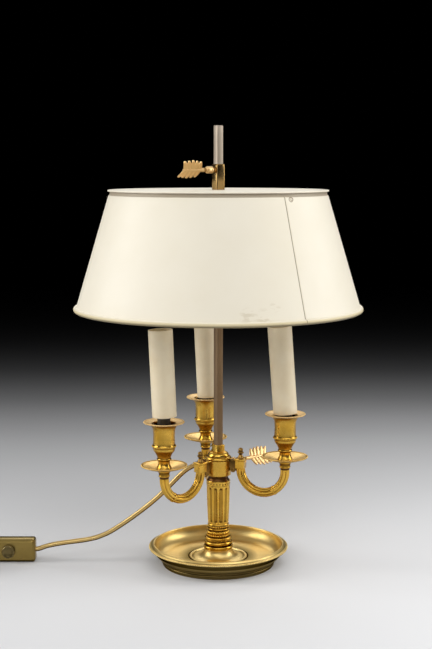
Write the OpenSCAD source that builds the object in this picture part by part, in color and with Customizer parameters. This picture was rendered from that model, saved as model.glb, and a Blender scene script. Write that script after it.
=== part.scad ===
// Three-light bouillotte lamp: a brass dish with a fluted column, a square steel rod,
// a light cluster and a painted metal shade that both slide on the rod and are held
// by arrow-shaped thumb keys, and a flex with an in-line switch and a plug.
// The origin is the centre of the foot on the table, +Z is up, and the front faces -Y.

/* [Base] */
// Diameter over the lip of the dish
dish_d = 154.6; // [150:0.2:162]
// Height of the dish's inner crest above the table
dish_h = 23; // [21:0.5:28]
// Height of the dish's floor above the table
floor_z = 8; // [7.5:0.5:10]
// Thickness of the dish's cast floor
dish_wall = 2.2; // [1.6:0.2:2.4]
// Diameter of the foot ring on the table
foot_d = 124; // [118:1:128]
// Height of the central boss above the table
boss_z = 17; // [16:0.5:20]
// Thickness of the steel weight under the dish
weight_t = 4; // [3:0.5:4.5]

/* [Column] */
// Radius over the lowest ring at the column's foot
foot_ring_r = 16.2; // [15:0.1:18]
// Height of the turned mouldings under the flutes
mould_h = 28.5; // [26:0.5:34]
// Height of the fluted shaft
shaft_h = 43.5; // [36:0.5:60]
// Radius at the lower end of the shaft
shaft_low_r = 11.3; // [10.5:0.1:12]
// Radius at the upper end of the shaft
shaft_top_r = 12.8; // [12:0.1:13.5]
// Number of flutes round the shaft
flutes = 12; // [8:1:14]
// Radius of the cutter that makes a flute
flute_r = 2; // [1.4:0.1:2.2]
// Height of the plain band over the flutes
band_h = 5.6; // [4:0.2:8]
// Height of the dark neck between band and hub
neck_h = 5.9; // [4:0.1:8]

/* [Rod] */
// Height of the lamp from table to rod top
lamp_h = 482; // [470:1:520]
// Side of the square steel rod
rod_w = 7.4; // [6.5:0.1:8]
// Turn of the rod's faces about the lamp's axis, in degrees
rod_turn = 35; // [30:1:40]
// Play between the rod and each square hole that slides on it
rod_play = 0.1; // [0.05:0.05:0.3]

/* [Light cluster] */
// Diameter of the hub drum
hub_d = 28.2; // [27:0.2:32]
// Height of the hub drum
hub_h = 17; // [16:0.5:22]
// Wall of the hub drum
hub_wall = 2.4; // [1.8:0.2:3]
// Distance from the lamp's axis to each candle
arm_reach = 76.5; // [70:0.5:90]
// Radius over the reeds of an arm
arm_r = 5; // [4.5:0.1:5.6]
// Number of reeds along an arm
reeds = 8; // [6:1:10]
// Gap between the hub drum and the block on an arm's inner end
arm_gap = 6.9; // [5:0.1:9]
// Side of the square block on an arm's inner end
block_w = 10; // [9.5:0.1:12]
// Height of the square block on an arm's inner end
block_h = 9; // [8:0.5:12]
// Thickness of the square plate on a block
plate_t = 2; // [1.5:0.1:3]
// Height of the bud finial on a block's plate
bud_h = 12; // [9:0.5:15]

/* [Candles] */
// Diameter of a drip pan
pan_d = 50; // [46:0.5:56]
// Depth of a drip pan from rim to seat
pan_depth = 5; // [4:0.5:7]
// Diameter of the flange on a candle cup
flange_d = 44; // [42:0.5:50]
// Height of a candle cup from pan to flange rim
cup_h = 51; // [48:0.5:58]
// Outer diameter of a candle tube
candle_d = 26; // [25:0.5:27]
// Wall of a candle tube
candle_wall = 1; // [0.8:0.1:1.2]
// Length of a candle tube
candle_l = 93; // [85:1:110]
// Lean of the loosely fitted candles, in degrees
candle_lean = 2.6; // [0:0.1:4]
// Radius of the lamp cap's thread in a lampholder
cap_r = 7; // [6.9:0.05:7.1]
// Depth of the lamp cap's thread in a lampholder
cap_depth = 24; // [20:1:28]

/* [Shade] */
// Length of bare rod and sleeve over the shade's cap
rod_over = 67; // [50:1:80]
// Height of the shade from its lower edge to the top of its cap
shade_h = 132; // [120:0.5:140]
// Radius of the shade's cone at the lower edge
shade_low_r = 154.4; // [140:0.2:160]
// Radius of the shade's cone under the cap
shade_top_r = 118; // [110:0.5:125]
// Thickness of the shade's sheet
sheet_t = 0.8; // [0.6:0.1:1.2]
// Radius of the rolled lower edge
hem_r = 2.8; // [2:0.1:3.5]
// Radius of the cap's rolled rim
cap_bead_r = 1.9; // [1.5:0.1:2.4]
// Side of the square brass sleeve that carries the shade
sleeve_w = 10.2; // [10:0.1:12]
// Height of the sleeve above the shade's cap
sleeve_h = 26; // [22:0.5:34]

/* [Keys] */
// Bare length of the shade's key, from the sleeve's face to the feathers
shade_key_reach = 17; // [14:0.5:24]
// Bare length of the cluster's key, from the hub to the feathers
hub_key_reach = 30; // [24:0.5:34]
// Number of barbs on each side of a key
barbs = 5; // [4:1:7]
// Distance from barb to barb
barb_pitch = 4.5; // [4:0.1:6]
// Height of a barb from the key's axis
barb_h = 11.4; // [9:0.2:13]
// Turn of each key's feathers from upright, in degrees
key_turn = 35; // [0:5:45]

/* [Flex] */
// Diameter of the round flex
cord_d = 5.5; // [5:0.1:6]
// Length of the in-line switch
switch_l = 58; // [54:1:64]
// Height of the in-line switch
switch_h = 26; // [23:0.5:28]
// Depth of the in-line switch from front to back
switch_w = 17; // [16:0.5:20]
// Diameter of the switch's push button
button_d = 14.6; // [12:0.2:16]

/* [Hidden] */
$fn = 48;
gold = [0.80, 0.60, 0.28];
patina = [0.36, 0.25, 0.12];
steel = [0.50, 0.44, 0.37];
cream = [0.93, 0.88, 0.78];
ivory = [0.94, 0.91, 0.84];
flex_gold = [0.72, 0.56, 0.27];
bakelite = [0.16, 0.14, 0.12];
felt_green = [0.15, 0.26, 0.19];

eps = 0.05;
screw_play = 0.06;

// Base and tie rod
dish_r = dish_d / 2;
foot_r = foot_d / 2;
foot_wall = 5;
crest_r = dish_r - 6.3;
crest_bead = 1.2;
lip_r = 1.5;
lip_z = dish_h - 3.4;
bowl_r = dish_h - floor_z - 2;
boss_r = foot_ring_r - 0.8;
boss_curve = boss_z - floor_z + 0.4;
groove_in = 25.5;
groove_out = 32.4;
tie_r = rod_w / 2 - 0.4;
tie_hole = tie_r + 0.2;
boss_hollow_r = 14;
boss_roof_z = boss_z - dish_wall;
nut_h = 4.5;
nut_r = 6.8;
tie_end_z = boss_roof_z - nut_h - 1.4;
felt_t = 1;
weight_top = floor_z - dish_wall;
weight_hole_r = 16;

// Column, stacked from the boss upwards
// Rings of the foot: share of its height, step in from the lowest ring, thickness radius
foot_rings = [[0.091, 0, 1.3], [0.249, 0.7, 2], [0.446, 1.3, 1.1], [0.667, 3.2, 1.9], [0.807, 3.9, 0.8]];
// Core between the rings: share of the foot's height, step in from the lowest ring
foot_core = [
    [0, 0.8], [0.07, 0.8], [0.12, 2.4], [0.33, 2.4], [0.34, 3.1], [0.5, 3.1], [0.52, 4.1], [0.6, 4.1],
    [0.61, 4.8], [0.72, 4.8], [0.74, 5.5], [0.77, 5.3], [0.85, 5.1], [0.95, 4.6], [1, 4.6]
];
shaft_z = boss_z + mould_h;
band_z = shaft_z + shaft_h;
band_r = shaft_top_r + 0.35;
neck_z = band_z + band_h;
neck_r = shaft_top_r - 1;
hub_z = neck_z + neck_h;

// Hub
hub_r = hub_d / 2;
hub_top = hub_z + hub_h;
slot_w = rod_w + 2 * rod_play;
guide_w = slot_w + 3;
hub_ring_h = 3.8;
hub_dome_h = 5.4;
hub_socket_h = 7.3;
hub_socket_w = slot_w + 3.4;
key_z = hub_top - 4.2;
key_a = rod_turn;
key_boss_wall = 1.5;
gland_a = 165;
gland_tilt = 20;
gland_z = hub_top - 4.1;
gland_r = 3.2;
gland_neck = 2.1;
gland_l = 6.5;

// Arms: the first points to the back, then left and right
arm_a = [101, 221, 341];
arm_drop = [0, 2.4, 0];
end_rise = [2.4, 0.8, 2.2];
root_r = hub_r + arm_gap + block_w / 2;
bend_r = (arm_reach - root_r) / 2;
arm_z = hub_z + 9;
wire_bore = 2.4;
wire_r = 1.1;
wire_z = arm_z + block_h / 3;
plate_over = 0.8;
scroll_r = 3.6;
web_t = 5;
band_at = 57;
band_turn = 5;

// Candle fittings, stacked from an arm's outer end upwards
ring_h = 2.4;
under_h = 7.6;
nipple_r = 5;
under_z = arm_z + ring_h;
pan_z = under_z + under_h;
pan_t = 1.4;
cup_z = pan_z + pan_t;
cup_wall = 1.3;
cup_body_r = candle_d / 2 - 1.3;
cup_bore_r = cup_body_r - cup_wall;
cup_floor = cup_z + cup_h * 0.43;
flange_r = flange_d / 2;
flange_z = cup_z + cup_h;
holder_r = candle_d / 2 - candle_wall - 0.05;
holder_top_gap = 4;
holder_head = 34;
holder_low = candle_l - holder_top_gap - holder_head;
leg_r = 7;
nipple_grip = 7;
candle_lift = [2, 5, 2];
candle_shift = [3.5, 0.7, -0.1];
more_lean = [0, -0.1, 1.5];

// Shade
shade_z = lamp_h - rod_over - shade_h;
cap_z = shade_z + shade_h - 2 * cap_bead_r;
cone_low_z = shade_z + hem_r;
cone_top_z = cap_z - 3.3;
sleeve_top = shade_z + shade_h + sleeve_h;
flange_plate_r = 17;
flange_plate_t = 2;
flange_plate_z = cap_z + cap_bead_r - sheet_t / 2 - flange_plate_t;
sleeve_low = flange_plate_z - 5;
seam_a = 304;
seam_turn = 6;
seam_t = 0.5;
rivet_a = seam_a + 0.7 * seam_turn;
rivet_r = 2;
rivet_down = 2.5;
shade_key_z = sleeve_top - 6.2;

// Keys
key_shank_r = 2.4;
key_boss_r = 3.75;
key_boss_l = 7;
key_ring_r = 2.9;
key_neck_r = 2.2;
hub_key_gap = 1;
shade_key_gap = 3;
vane_t = 1.7;
barb_sweep = [3, 5.5];

// Flex: where it leaves the gland, the switch and the plug
cord_r = cord_d / 2;
cord_y = 7;
switch_x = -233.5;
switch_z = switch_h / 2;
button_out = 4.5;
button_play = 0.1;
switch_case_t = 2;
coil_at = [-304, -24.5];
coil_in = 23.75;
coil_out = 34.75;
coil_h = 4 * cord_d;
plug_x = -333;
plug_y = -97.5;
plug_l = 44;
plug_grip = 22;
plug_w = 35;
plug_t = 13.6;
pin_r = 2;
pin_l = 19;
pin_gap = 18.6;

gland_heading = [cos(gland_a) * cos(gland_tilt), sin(gland_a) * cos(gland_tilt), -sin(gland_tilt)];
lead_start = [hub_r * cos(gland_a), hub_r * sin(gland_a), gland_z] + (gland_l + 0.02) * gland_heading;
switch_near_x = switch_x + switch_l / 2;
switch_far_x = switch_x - switch_l / 2;
lead_route = concat([lead_start, lead_start + 4 * gland_heading], [
    [-27.6, 6.7, 108.4], [-31.6, 6.9, 106.4], [-36, 7, 103.5], [-41, 7, 99.2], [-47, 7, 93.2],
    [-53.5, 7, 86.4], [-60, 7, 79.8], [-67, 7, 73.1], [-76, 7, 65.2], [-87, 7, 56.4], [-99, 7, 47.5],
    [-111, 7, 39.2], [-123, 7, 31.9], [-134, 7, 27.2], [-145, 7, 24.3], [-158, 7, 22.3],
    [-171, 7, 20.5], [-183, 7, 18.6], [-193, 7, 16.2], [switch_near_x + 4, cord_y, switch_z + 0.6],
    [switch_near_x, cord_y, switch_z], [switch_near_x - 3, cord_y, switch_z]
]);
feed_route = [
    [switch_far_x + 3, cord_y, switch_z], [switch_far_x - 3, cord_y, switch_z - 0.2], [-272, 7, 11.4],
    [-279, 7, 8.2], [-286, 7, 5.1], [-292, 7, 3.4], [-298, 7, 2.8]
];
tail_route = [
    [-335.8, -29.5, 19.2], [-335.8, -41.5, 19.2], [-335.2, -53.5, 18.4], [-334, -65.5, 15.6],
    [-333, -77.5, 11.2], [-333, -87.5, 7.8], [-333, -97.5, 6.8]
];

// ---------------------------------------------------------------- helpers

// Points on an arc about c, from angle a0 to a1
function arc(c, r, a0, a1, n = 6) =
    [for (i = [0:n]) let (a = a0 + (a1 - a0) * i / n) [c[0] + r * cos(a), c[1] + r * sin(a)]];

function unit(v) = v / norm(v);

// Direction of the route at its point i
function heading(p, i) = unit(p[min(i + 1, len(p) - 1)] - p[max(i - 1, 0)]);

// One ring of n points round the route's point i
function ring(p, i, r, n) =
    let (t = heading(p, i), s = unit(cross(t, [0, 0, 1])), u = cross(s, t))
    [for (k = [0:n - 1]) p[i] + r * (cos(360 * k / n) * s + sin(360 * k / n) * u)];

// Round tube along a route
module tube(p, r, n = 8) {
    last = len(p) - 1;
    pts = [for (i = [0:last]) each ring(p, i, r, n)];
    sides = [for (i = [0:last - 1]) for (k = [0:n - 1])
        [i * n + k, (i + 1) * n + k, (i + 1) * n + (k + 1) % n, i * n + (k + 1) % n]];
    start_cap = [[for (k = [0:n - 1]) k]];
    end_cap = [[for (k = [0:n - 1]) last * n + n - 1 - k]];
    polyhedron(points = pts, faces = concat(sides, start_cap, end_cap), convexity = 4);
}

// Solid of revolution of a profile given as [radius, height] points
module turned(profile) rotate_extrude() polygon(profile);

// Square bar or square hole in line with the rod, from z0 to z1
module bar(w, z0, z1)
    rotate([0, 0, rod_turn]) translate([-w / 2, -w / 2, z0]) cube([w, w, z1 - z0]);

// How far the fittings of arm k stand above those of a level arm
function lift(k) = end_rise[k] - arm_drop[k];

// Places its children on arm k, with the arm's outer end on the Z axis
module on_arm(k) rotate([0, 0, arm_a[k]]) translate([arm_reach, 0, lift(k)]) children();

// Places its children on the axis of arm k's inner end
module on_root(k) rotate([0, 0, arm_a[k]]) translate([root_r, 0, -arm_drop[k]]) children();

// Places its children on the axis of candle k, which leans to the lamp's left, from its foot up
module leaning(k) {
    foot = flange_z + lift(k) + candle_lift[k];
    translate([arm_reach * cos(arm_a[k]) + candle_shift[k], arm_reach * sin(arm_a[k]), foot])
        rotate([0, -candle_lean - more_lean[k], 0]) children();
}

// Places its children on the flex gland, with the Z axis out of the hub drum's face
module on_gland() radial(gland_a, gland_z) translate([0, 0, hub_r]) rotate([0, gland_tilt, 0]) children();

// Points an axis outwards at angle a and height z: the child's Z axis becomes the radius
module radial(a, z) translate([0, 0, z]) rotate([0, 0, a]) rotate([0, 90, 0]) children();

// ---------------------------------------------------------------- base

module base_dish() {
    bowl_c = [crest_r - 0.5 - bowl_r, floor_z + bowl_r];
    under_r = bowl_r + dish_wall;
    under_a = acos((foot_r + 1.8 - bowl_c[0]) / under_r);
    color(gold) turned(concat(
        [[tie_hole, boss_roof_z], [tie_hole, boss_z], [boss_r, boss_z]],
        arc([boss_r + boss_curve, boss_z + 0.4], boss_curve, 186, 262, 12),
        [[groove_in + 0.7, floor_z - 0.4], [groove_in + 1.8, floor_z - 0.8],
         [groove_in + 3, floor_z - 0.4], [groove_in + 3.6, floor_z + 0.6],
         [groove_out - 1.2, floor_z + 0.9], [groove_out, floor_z]],
        arc(bowl_c, bowl_r, -90, 0, 10),
        arc([crest_r - 0.5 + crest_bead, dish_h - crest_bead], crest_bead, 180, -35, 8),
        [[crest_r + 2.6, lip_z + 0.7]],
        arc([dish_r - lip_r, lip_z], lip_r, 140, -90, 9),
        arc(bowl_c, under_r, -13, -under_a, 6),
        [[foot_r + 1, 5.4], [foot_r + 0.3, 4.8]],
        arc([foot_r, 3.4], 0.9, 70, -70, 5),
        [[foot_r + 0.1, 2], [foot_r, 0], [foot_r - foot_wall, 0],
         [foot_r - foot_wall, weight_top], [boss_hollow_r + 1, weight_top],
         [boss_hollow_r - 1, boss_roof_z]]
    ));
}

module base_weight() {
    color(steel) translate([0, 0, weight_top - weight_t]) difference() {
        cylinder(h = weight_t, r = foot_r - foot_wall - 0.3);
        translate([0, 0, -eps]) cylinder(h = weight_t + 2 * eps, r = weight_hole_r);
    }
}

module base_felt() {
    color(felt_green) translate([0, 0, weight_top - weight_t - felt_t])
        cylinder(h = felt_t, r = foot_r - foot_wall - 0.3);
}

module rod_nut() {
    color(steel) translate([0, 0, boss_roof_z - nut_h]) difference() {
        cylinder(h = nut_h, r = nut_r, $fn = 6);
        translate([0, 0, -eps]) cylinder(h = nut_h + 2 * eps, r = tie_r);
    }
}

// ---------------------------------------------------------------- column

module column_foot() {
    color(gold) rotate_extrude() {
        polygon(concat(
            [[tie_hole, boss_z]],
            [for (c = foot_core) [foot_ring_r - c[1], boss_z + c[0] * mould_h]],
            [[tie_hole, shaft_z]]
        ));
        for (g = foot_rings)
            translate([foot_ring_r - g[1] - g[2], boss_z + g[0] * mould_h]) circle(r = g[2]);
    }
}

// Flute cutter: a round-ended rod standing on the origin
module flute(l, r) turned(concat(
    [[0, -r]], arc([0, 0], r, -60, 0, 2), [[r, l]], arc([0, l], r, 30, 60, 1), [[0, l + r]]
));

module column_shaft() {
    slope = atan((shaft_top_r - shaft_low_r) / shaft_h);
    cut_l = shaft_h - 2 * flute_r - 3.4;
    cut_r = shaft_low_r + 0.2 * flute_r;
    color(gold) difference() {
        union() {
            translate([0, 0, shaft_z]) cylinder(h = shaft_h, r1 = shaft_low_r, r2 = shaft_top_r);
            translate([0, 0, band_z]) cylinder(h = band_h, r = band_r);
        }
        for (i = [0:flutes - 1])
            rotate([0, 0, (i + 0.5) * 360 / flutes])
                translate([cut_r, 0, shaft_z + flute_r + 1.7]) rotate([0, slope, 0])
                    flute(cut_l, flute_r);
        translate([0, 0, shaft_z - eps]) cylinder(h = shaft_h + band_h + 2 * eps, r = tie_hole);
    }
}

module column_neck() {
    color(patina) difference() {
        translate([0, 0, neck_z]) turned([
            [0, 0], [neck_r + 0.6, 0], [neck_r, 1.2], [neck_r - 0.6, neck_h / 2],
            [neck_r, neck_h - 1.2], [neck_r + 0.6, neck_h], [0, neck_h]
        ]);
        bar(rod_w + 0.1, neck_z - eps, hub_z + eps);
    }
}

module rod() {
    color(steel) {
        difference() {
            bar(rod_w, neck_z, lamp_h);
            translate([0, 0, lamp_h]) rotate([0, 0, rod_turn])
                for (q = [0:3]) rotate([0, 0, 90 * q])
                    translate([rod_w / 2, -rod_w, 0]) rotate([0, 45, 0])
                        translate([-0.6, 0, -0.6]) cube([1.2, 2 * rod_w, 1.2]);
        }
        translate([0, 0, tie_end_z]) cylinder(h = neck_z - tie_end_z + 1, r = tie_r);
    }
}

// ---------------------------------------------------------------- hub

module hub_drum() {
    cavity_r = hub_r - hub_wall;
    color(gold) difference() {
        union() {
            difference() {
                translate([0, 0, hub_z]) cylinder(h = hub_h, r = hub_r);
                translate([0, 0, hub_z + hub_wall]) cylinder(h = hub_h, r = cavity_r);
            }
            bar(guide_w, hub_z, hub_top);
            radial(key_a, key_z) cylinder(h = hub_r - hub_wall / 2, r = key_shank_r + key_boss_wall);
        }
        bar(slot_w, hub_z - eps, hub_top + eps);
        radial(key_a, key_z) cylinder(h = hub_r + 1, r = key_shank_r + screw_play);
        on_gland() translate([0, 0, -hub_wall - 2]) cylinder(h = hub_wall + 5, r = gland_r);
        for (k = [0:2]) radial(arm_a[k], wire_z - arm_drop[k])
            translate([0, 0, cavity_r - 1]) cylinder(h = hub_wall + 2, r = wire_r + 0.6);
    }
}

module hub_cover() {
    dome_z = hub_top + hub_ring_h;
    socket_z = dome_z + hub_dome_h;
    color(gold) difference() {
        union() {
            turned(concat(
                [[0, hub_top], [hub_r - 0.6, hub_top]],
                arc([hub_r - hub_ring_h / 2 + 0.5, hub_top + hub_ring_h / 2], hub_ring_h / 2, -80, 80, 8),
                [[hub_r - 1.6, dome_z]],
                arc([hub_socket_w / 2 + 0.8, dome_z + 0.2], hub_r - 2.8 - hub_socket_w / 2, 0, 80, 6),
                [[hub_socket_w / 2 + 0.6, socket_z], [0, socket_z]]
            ));
            bar(hub_socket_w, dome_z, socket_z + hub_socket_h);
        }
        bar(slot_w, hub_top - eps, socket_z + hub_socket_h + eps);
    }
}

module wire_joints() {
    spot_r = (guide_w / 2 + hub_r - hub_wall) / 2;
    color(bakelite) for (a = [90, 270])
        rotate([0, 0, rod_turn + a]) translate([spot_r, 0, hub_z + hub_wall])
            cylinder(h = hub_h * 0.5, r = (hub_r - hub_wall - guide_w / 2) / 2 - 0.15);
}

module cord_gland() {
    color(bakelite) on_gland() {
        translate([0, 0, -hub_wall - 0.2]) cylinder(h = hub_wall + 0.2 + gland_neck, r = gland_r);
        translate([0, 0, gland_neck]) cylinder(h = gland_l - gland_neck, r1 = 4.3, r2 = 3.3);
    }
}

// Feathered part of a key, drawn in the plane of its axis: one side of the arrow
module vane_side() {
    for (i = [0:barbs - 1]) {
        s = i * barb_pitch;
        sweep = barb_sweep[0] + (barb_sweep[1] - barb_sweep[0]) * i / (barbs - 1);
        top = barb_h - 1.4 * abs(i - (barbs - 1) / 2) / (barbs - 1) * 2;
        polygon([
            [s, 0], [s + barb_pitch + 0.7, 0], [s + sweep + barb_pitch - 0.5, top - 1.6],
            [s + sweep + barb_pitch / 2 + 0.6, top], [s + sweep + 0.5, top - 2.4]
        ]);
    }
}

// Thumb key along +Z: tip at z = start, bare shank for gap from the face, then its boss,
// a small ring and its feathers from face + reach
module arrow_key(start, face, gap, reach) {
    boss_at = face + gap;
    vane_z = face + reach;
    vane_l = barbs * barb_pitch;
    translate([0, 0, start]) cylinder(h = boss_at - start + 1, r = key_shank_r);
    translate([0, 0, boss_at]) cylinder(h = key_boss_l, r = key_boss_r);
    translate([0, 0, boss_at + key_boss_l - 1]) cylinder(h = 2.6, r = key_ring_r);
    translate([0, 0, boss_at + key_boss_l]) cylinder(h = reach - gap - key_boss_l + 2, r = key_neck_r);
    translate([0, 0, vane_z]) {
        cylinder(h = vane_l + 1, r1 = key_neck_r, r2 = 1.3);
        rotate([0, 0, 90 - key_turn]) rotate([0, -90, 0]) translate([0, 0, -vane_t / 2])
            linear_extrude(vane_t) {
                vane_side();
                mirror([0, 1]) vane_side();
            }
    }
}

module cluster_key() {
    color(gold) radial(key_a, key_z)
        arrow_key(rod_w / 2 + rod_play / 2, hub_r, hub_key_gap, hub_key_reach);
}

// ---------------------------------------------------------------- arms

// Cross-section of an arm: a round core with reeds along it
module arm_section() {
    reed_r = arm_r * 0.26;
    circle(r = arm_r - reed_r * 0.8);
    for (i = [0:reeds - 1]) rotate((i + 0.5) * 360 / reeds) translate([arm_r - reed_r, 0]) circle(r = reed_r);
}

// Half-round bend from the arm's inner end down and up to its outer end, with a straight leg there
module arm(k) {
    color(gold) on_root(k) translate([bend_r, 0, arm_z]) {
        rotate([-90, 0, 0]) difference() {
            union() {
                rotate_extrude(angle = 180) translate([bend_r, 0]) arm_section();
                rotate([0, 0, band_at]) rotate_extrude(angle = band_turn)
                    translate([bend_r, 0]) circle(r = arm_r + 0.4);
            }
            rotate([0, 0, -2]) rotate_extrude(angle = 184) translate([bend_r, 0]) circle(r = wire_bore);
        }
        translate([bend_r, 0, 0]) difference() {
            linear_extrude(end_rise[k]) arm_section();
            translate([0, 0, -eps]) cylinder(h = end_rise[k] + 2 * eps, r = wire_bore);
        }
    }
}

// Scrolled web that ties an arm's block to the hub
module arm_bracket(k) {
    mid_r = hub_r + arm_gap / 2;
    root_z = arm_z - arm_drop[k];
    color(gold) difference() {
        rotate([0, 0, arm_a[k]]) rotate([90, 0, 0]) translate([0, 0, -web_t / 2]) linear_extrude(web_t)
            difference() {
                union() {
                    translate([hub_r - 1, root_z + 1.2]) square([arm_gap + 1, block_h - 1.2]);
                    translate([mid_r + 0.4, root_z - 2]) circle(r = scroll_r);
                    translate([hub_r - 1, hub_z + 1.5]) square([arm_gap * 0.3 + 1, 6]);
                }
                translate([mid_r + 0.9, root_z - 2]) circle(r = 1.1);
                translate([root_r - arm_r - 0.3, hub_z]) square([arm_r, root_z - hub_z]);
            }
        translate([0, 0, hub_z - 1]) cylinder(h = hub_h + 2, r = hub_r);
        translate([0, 0, hub_top]) cylinder(h = hub_ring_h + block_h, r = hub_r + 0.6);
        radial(arm_a[k], wire_z - arm_drop[k]) cylinder(h = root_r, r = wire_r + 0.6);
    }
}

// Square block on an arm's inner end, with a thin plate over it
module collar(k) {
    plate_w = block_w + 2 * plate_over;
    color(gold) on_root(k) difference() {
        translate([0, 0, arm_z]) {
            translate([-block_w / 2, -block_w / 2, 0]) cube([block_w, block_w, block_h]);
            translate([-plate_w / 2, -plate_w / 2, block_h]) cube([plate_w, plate_w, plate_t]);
        }
        translate([0, 0, arm_z - eps]) cylinder(h = block_h * 0.6, r = wire_bore);
        translate([0, 0, wire_z]) rotate([0, -90, 0]) cylinder(h = block_w, r = wire_r + 0.6);
    }
}

// Bud finial: a flared foot, a waist, a ring of petals and a round knob
module bud(k) {
    w = bud_h * 0.24;
    color(gold) on_root(k) translate([0, 0, arm_z + block_h + plate_t]) turned(concat(
        [[0, 0], [w * 1.15, 0], [w * 1.05, bud_h * 0.06], [w * 0.68, bud_h * 0.18],
         [w * 0.6, bud_h * 0.34], [w * 0.75, bud_h * 0.44], [w * 1.15, bud_h * 0.52],
         [w * 1.15, bud_h * 0.58], [w * 0.8, bud_h * 0.68]],
        arc([0, bud_h - w * 0.92], w * 0.92, -15, 90, 8)
    ));
}

// ---------------------------------------------------------------- candle fittings

module nipple(k) {
    color(patina) on_arm(k) translate([0, 0, arm_z]) difference() {
        cylinder(h = cup_floor + nipple_grip - arm_z, r = nipple_r);
        translate([0, 0, -eps]) cylinder(h = cup_floor + nipple_grip - arm_z + 2 * eps, r = wire_bore);
    }
}

module under_collar(k) {
    color(gold) on_arm(k) translate([0, 0, under_z]) turned(concat(
        [[nipple_r, 0], [nipple_r + 0.8, 0], [nipple_r + 1.1, 0.8], [nipple_r + 0.8, 1.6]],
        arc([nipple_r + 4.6, 2.6], 4, 190, 120, 4),
        [[nipple_r + 2.9, under_h], [nipple_r, under_h]]
    ));
}

module drip_pan(k) {
    r = pan_d / 2;
    color(gold) on_arm(k) translate([0, 0, pan_z]) rotate_extrude() {
        polygon(concat(
            [[nipple_r, 0], [r * 0.36, 0]],
            arc([r * 0.36, pan_depth * 2.6], pan_depth * 2.6, -90, -52, 6),
            [[r - 1, pan_depth - 1], [r - 1, pan_depth + 0.2], [r - 2.2, pan_depth]],
            arc([r * 0.36, pan_t + pan_depth * 2.6], pan_depth * 2.6, -52, -90, 6),
            [[nipple_r, pan_t]]
        ));
        translate([r - 1, pan_depth - 0.3]) circle(r = 1);
    }
}

module cup(k) {
    h = cup_h;
    ring_r = cup_body_r + 1.5;
    color(gold) on_arm(k) translate([0, 0, cup_z]) rotate_extrude() {
        polygon(concat(
            [[nipple_r, 0], [8.2, 0], [8, 1.2]],
            arc([10.6, 5.4], 4.2, 230, 180, 4),
            [[6.4, h * 0.17], [7.2, h * 0.19], [7.9, h * 0.21], [7.2, h * 0.235], [7.6, h * 0.26]],
            arc([cup_body_r - 5.4, h * 0.42], 5.7, -62, 0, 6),
            [[cup_body_r + 0.3, h * 0.46], [ring_r, h * 0.47], [ring_r, h * 0.485],
             [cup_body_r, h * 0.5], [cup_body_r - 0.2, h * 0.7]],
            arc([cup_body_r + 9.6, h * 0.74], 9.7, 180, 118, 6),
            [[flange_r - 1, h - 1.7], [flange_r - 1, h - 0.2], [cup_bore_r + 4, h - 1.5],
             [cup_bore_r + 0.3, h - 2.2], [cup_bore_r, h - 2.8], [cup_bore_r, h * 0.5],
             [cup_bore_r - 2.5, cup_floor - cup_z], [nipple_r, cup_floor - cup_z]]
        ));
        translate([flange_r - 1, h - 0.9]) circle(r = 1);
    }
}

// Lampholder on its nipple: an upright leg and a head that leans with its candle, with the
// socket for the lamp cap
module lampholder(k) {
    leg_h = flange_z + candle_lift[k] + holder_low - cup_floor;
    color(bakelite) difference() {
        union() {
            on_arm(k) translate([0, 0, cup_floor + 0.5]) cylinder(h = leg_h + 4, r = leg_r);
            leaning(k) translate([0, 0, holder_low]) turned([
                [0, 0], [holder_r - 2, 0], [holder_r, 2], [holder_r, holder_head], [0, holder_head]
            ]);
        }
        on_arm(k) translate([0, 0, cup_floor - 1]) cylinder(h = nipple_grip + 1, r = nipple_r);
        on_arm(k) translate([0, 0, cup_floor])
            cylinder(h = leg_h + holder_head - cap_depth + 1, r = wire_bore);
        leaning(k) translate([0, 0, candle_l - holder_top_gap - cap_depth])
            cylinder(h = cap_depth + 1, r = cap_r);
    }
}

module candle(k) {
    color(ivory) leaning(k) difference() {
        cylinder(h = candle_l, r = candle_d / 2);
        translate([0, 0, -eps]) cylinder(h = candle_l + 2 * eps, r = candle_d / 2 - candle_wall);
    }
}

// Twin-wire cores: from each arm's root through the arm and up the nipple
module lamp_wires() {
    color(bakelite) for (k = [0:2]) {
        radial(arm_a[k], wire_z - arm_drop[k]) translate([0, 0, hub_r - hub_wall - 1.5])
            cylinder(h = root_r - hub_r + hub_wall + 1.5, r = wire_r);
        on_root(k) translate([0, 0, arm_z]) cylinder(h = wire_z - arm_z, r = wire_r);
        on_root(k) translate([bend_r, 0, arm_z]) rotate([-90, 0, 0])
            rotate_extrude(angle = 180) translate([bend_r, 0]) circle(r = wire_r);
        on_root(k) translate([2 * bend_r, 0, arm_z])
            cylinder(h = end_rise[k] + cup_floor + nipple_grip - arm_z, r = wire_r);
    }
}

// ---------------------------------------------------------------- shade

module shade_cone() {
    color(cream) rotate_extrude() {
        polygon([
            [shade_low_r - sheet_t, cone_low_z], [shade_low_r, cone_low_z],
            [shade_top_r, cone_top_z], [shade_top_r - 1.2, cone_top_z + 0.9],
            [shade_top_r - 1.6, cap_z + 0.2], [shade_top_r - 1.6 - sheet_t, cap_z + 0.2],
            [shade_top_r - 2 - sheet_t, cone_top_z + 0.6], [shade_top_r - sheet_t, cone_top_z - 0.8]
        ]);
        translate([shade_low_r - 0.2, shade_z + hem_r]) circle(r = hem_r);
    }
}

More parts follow.
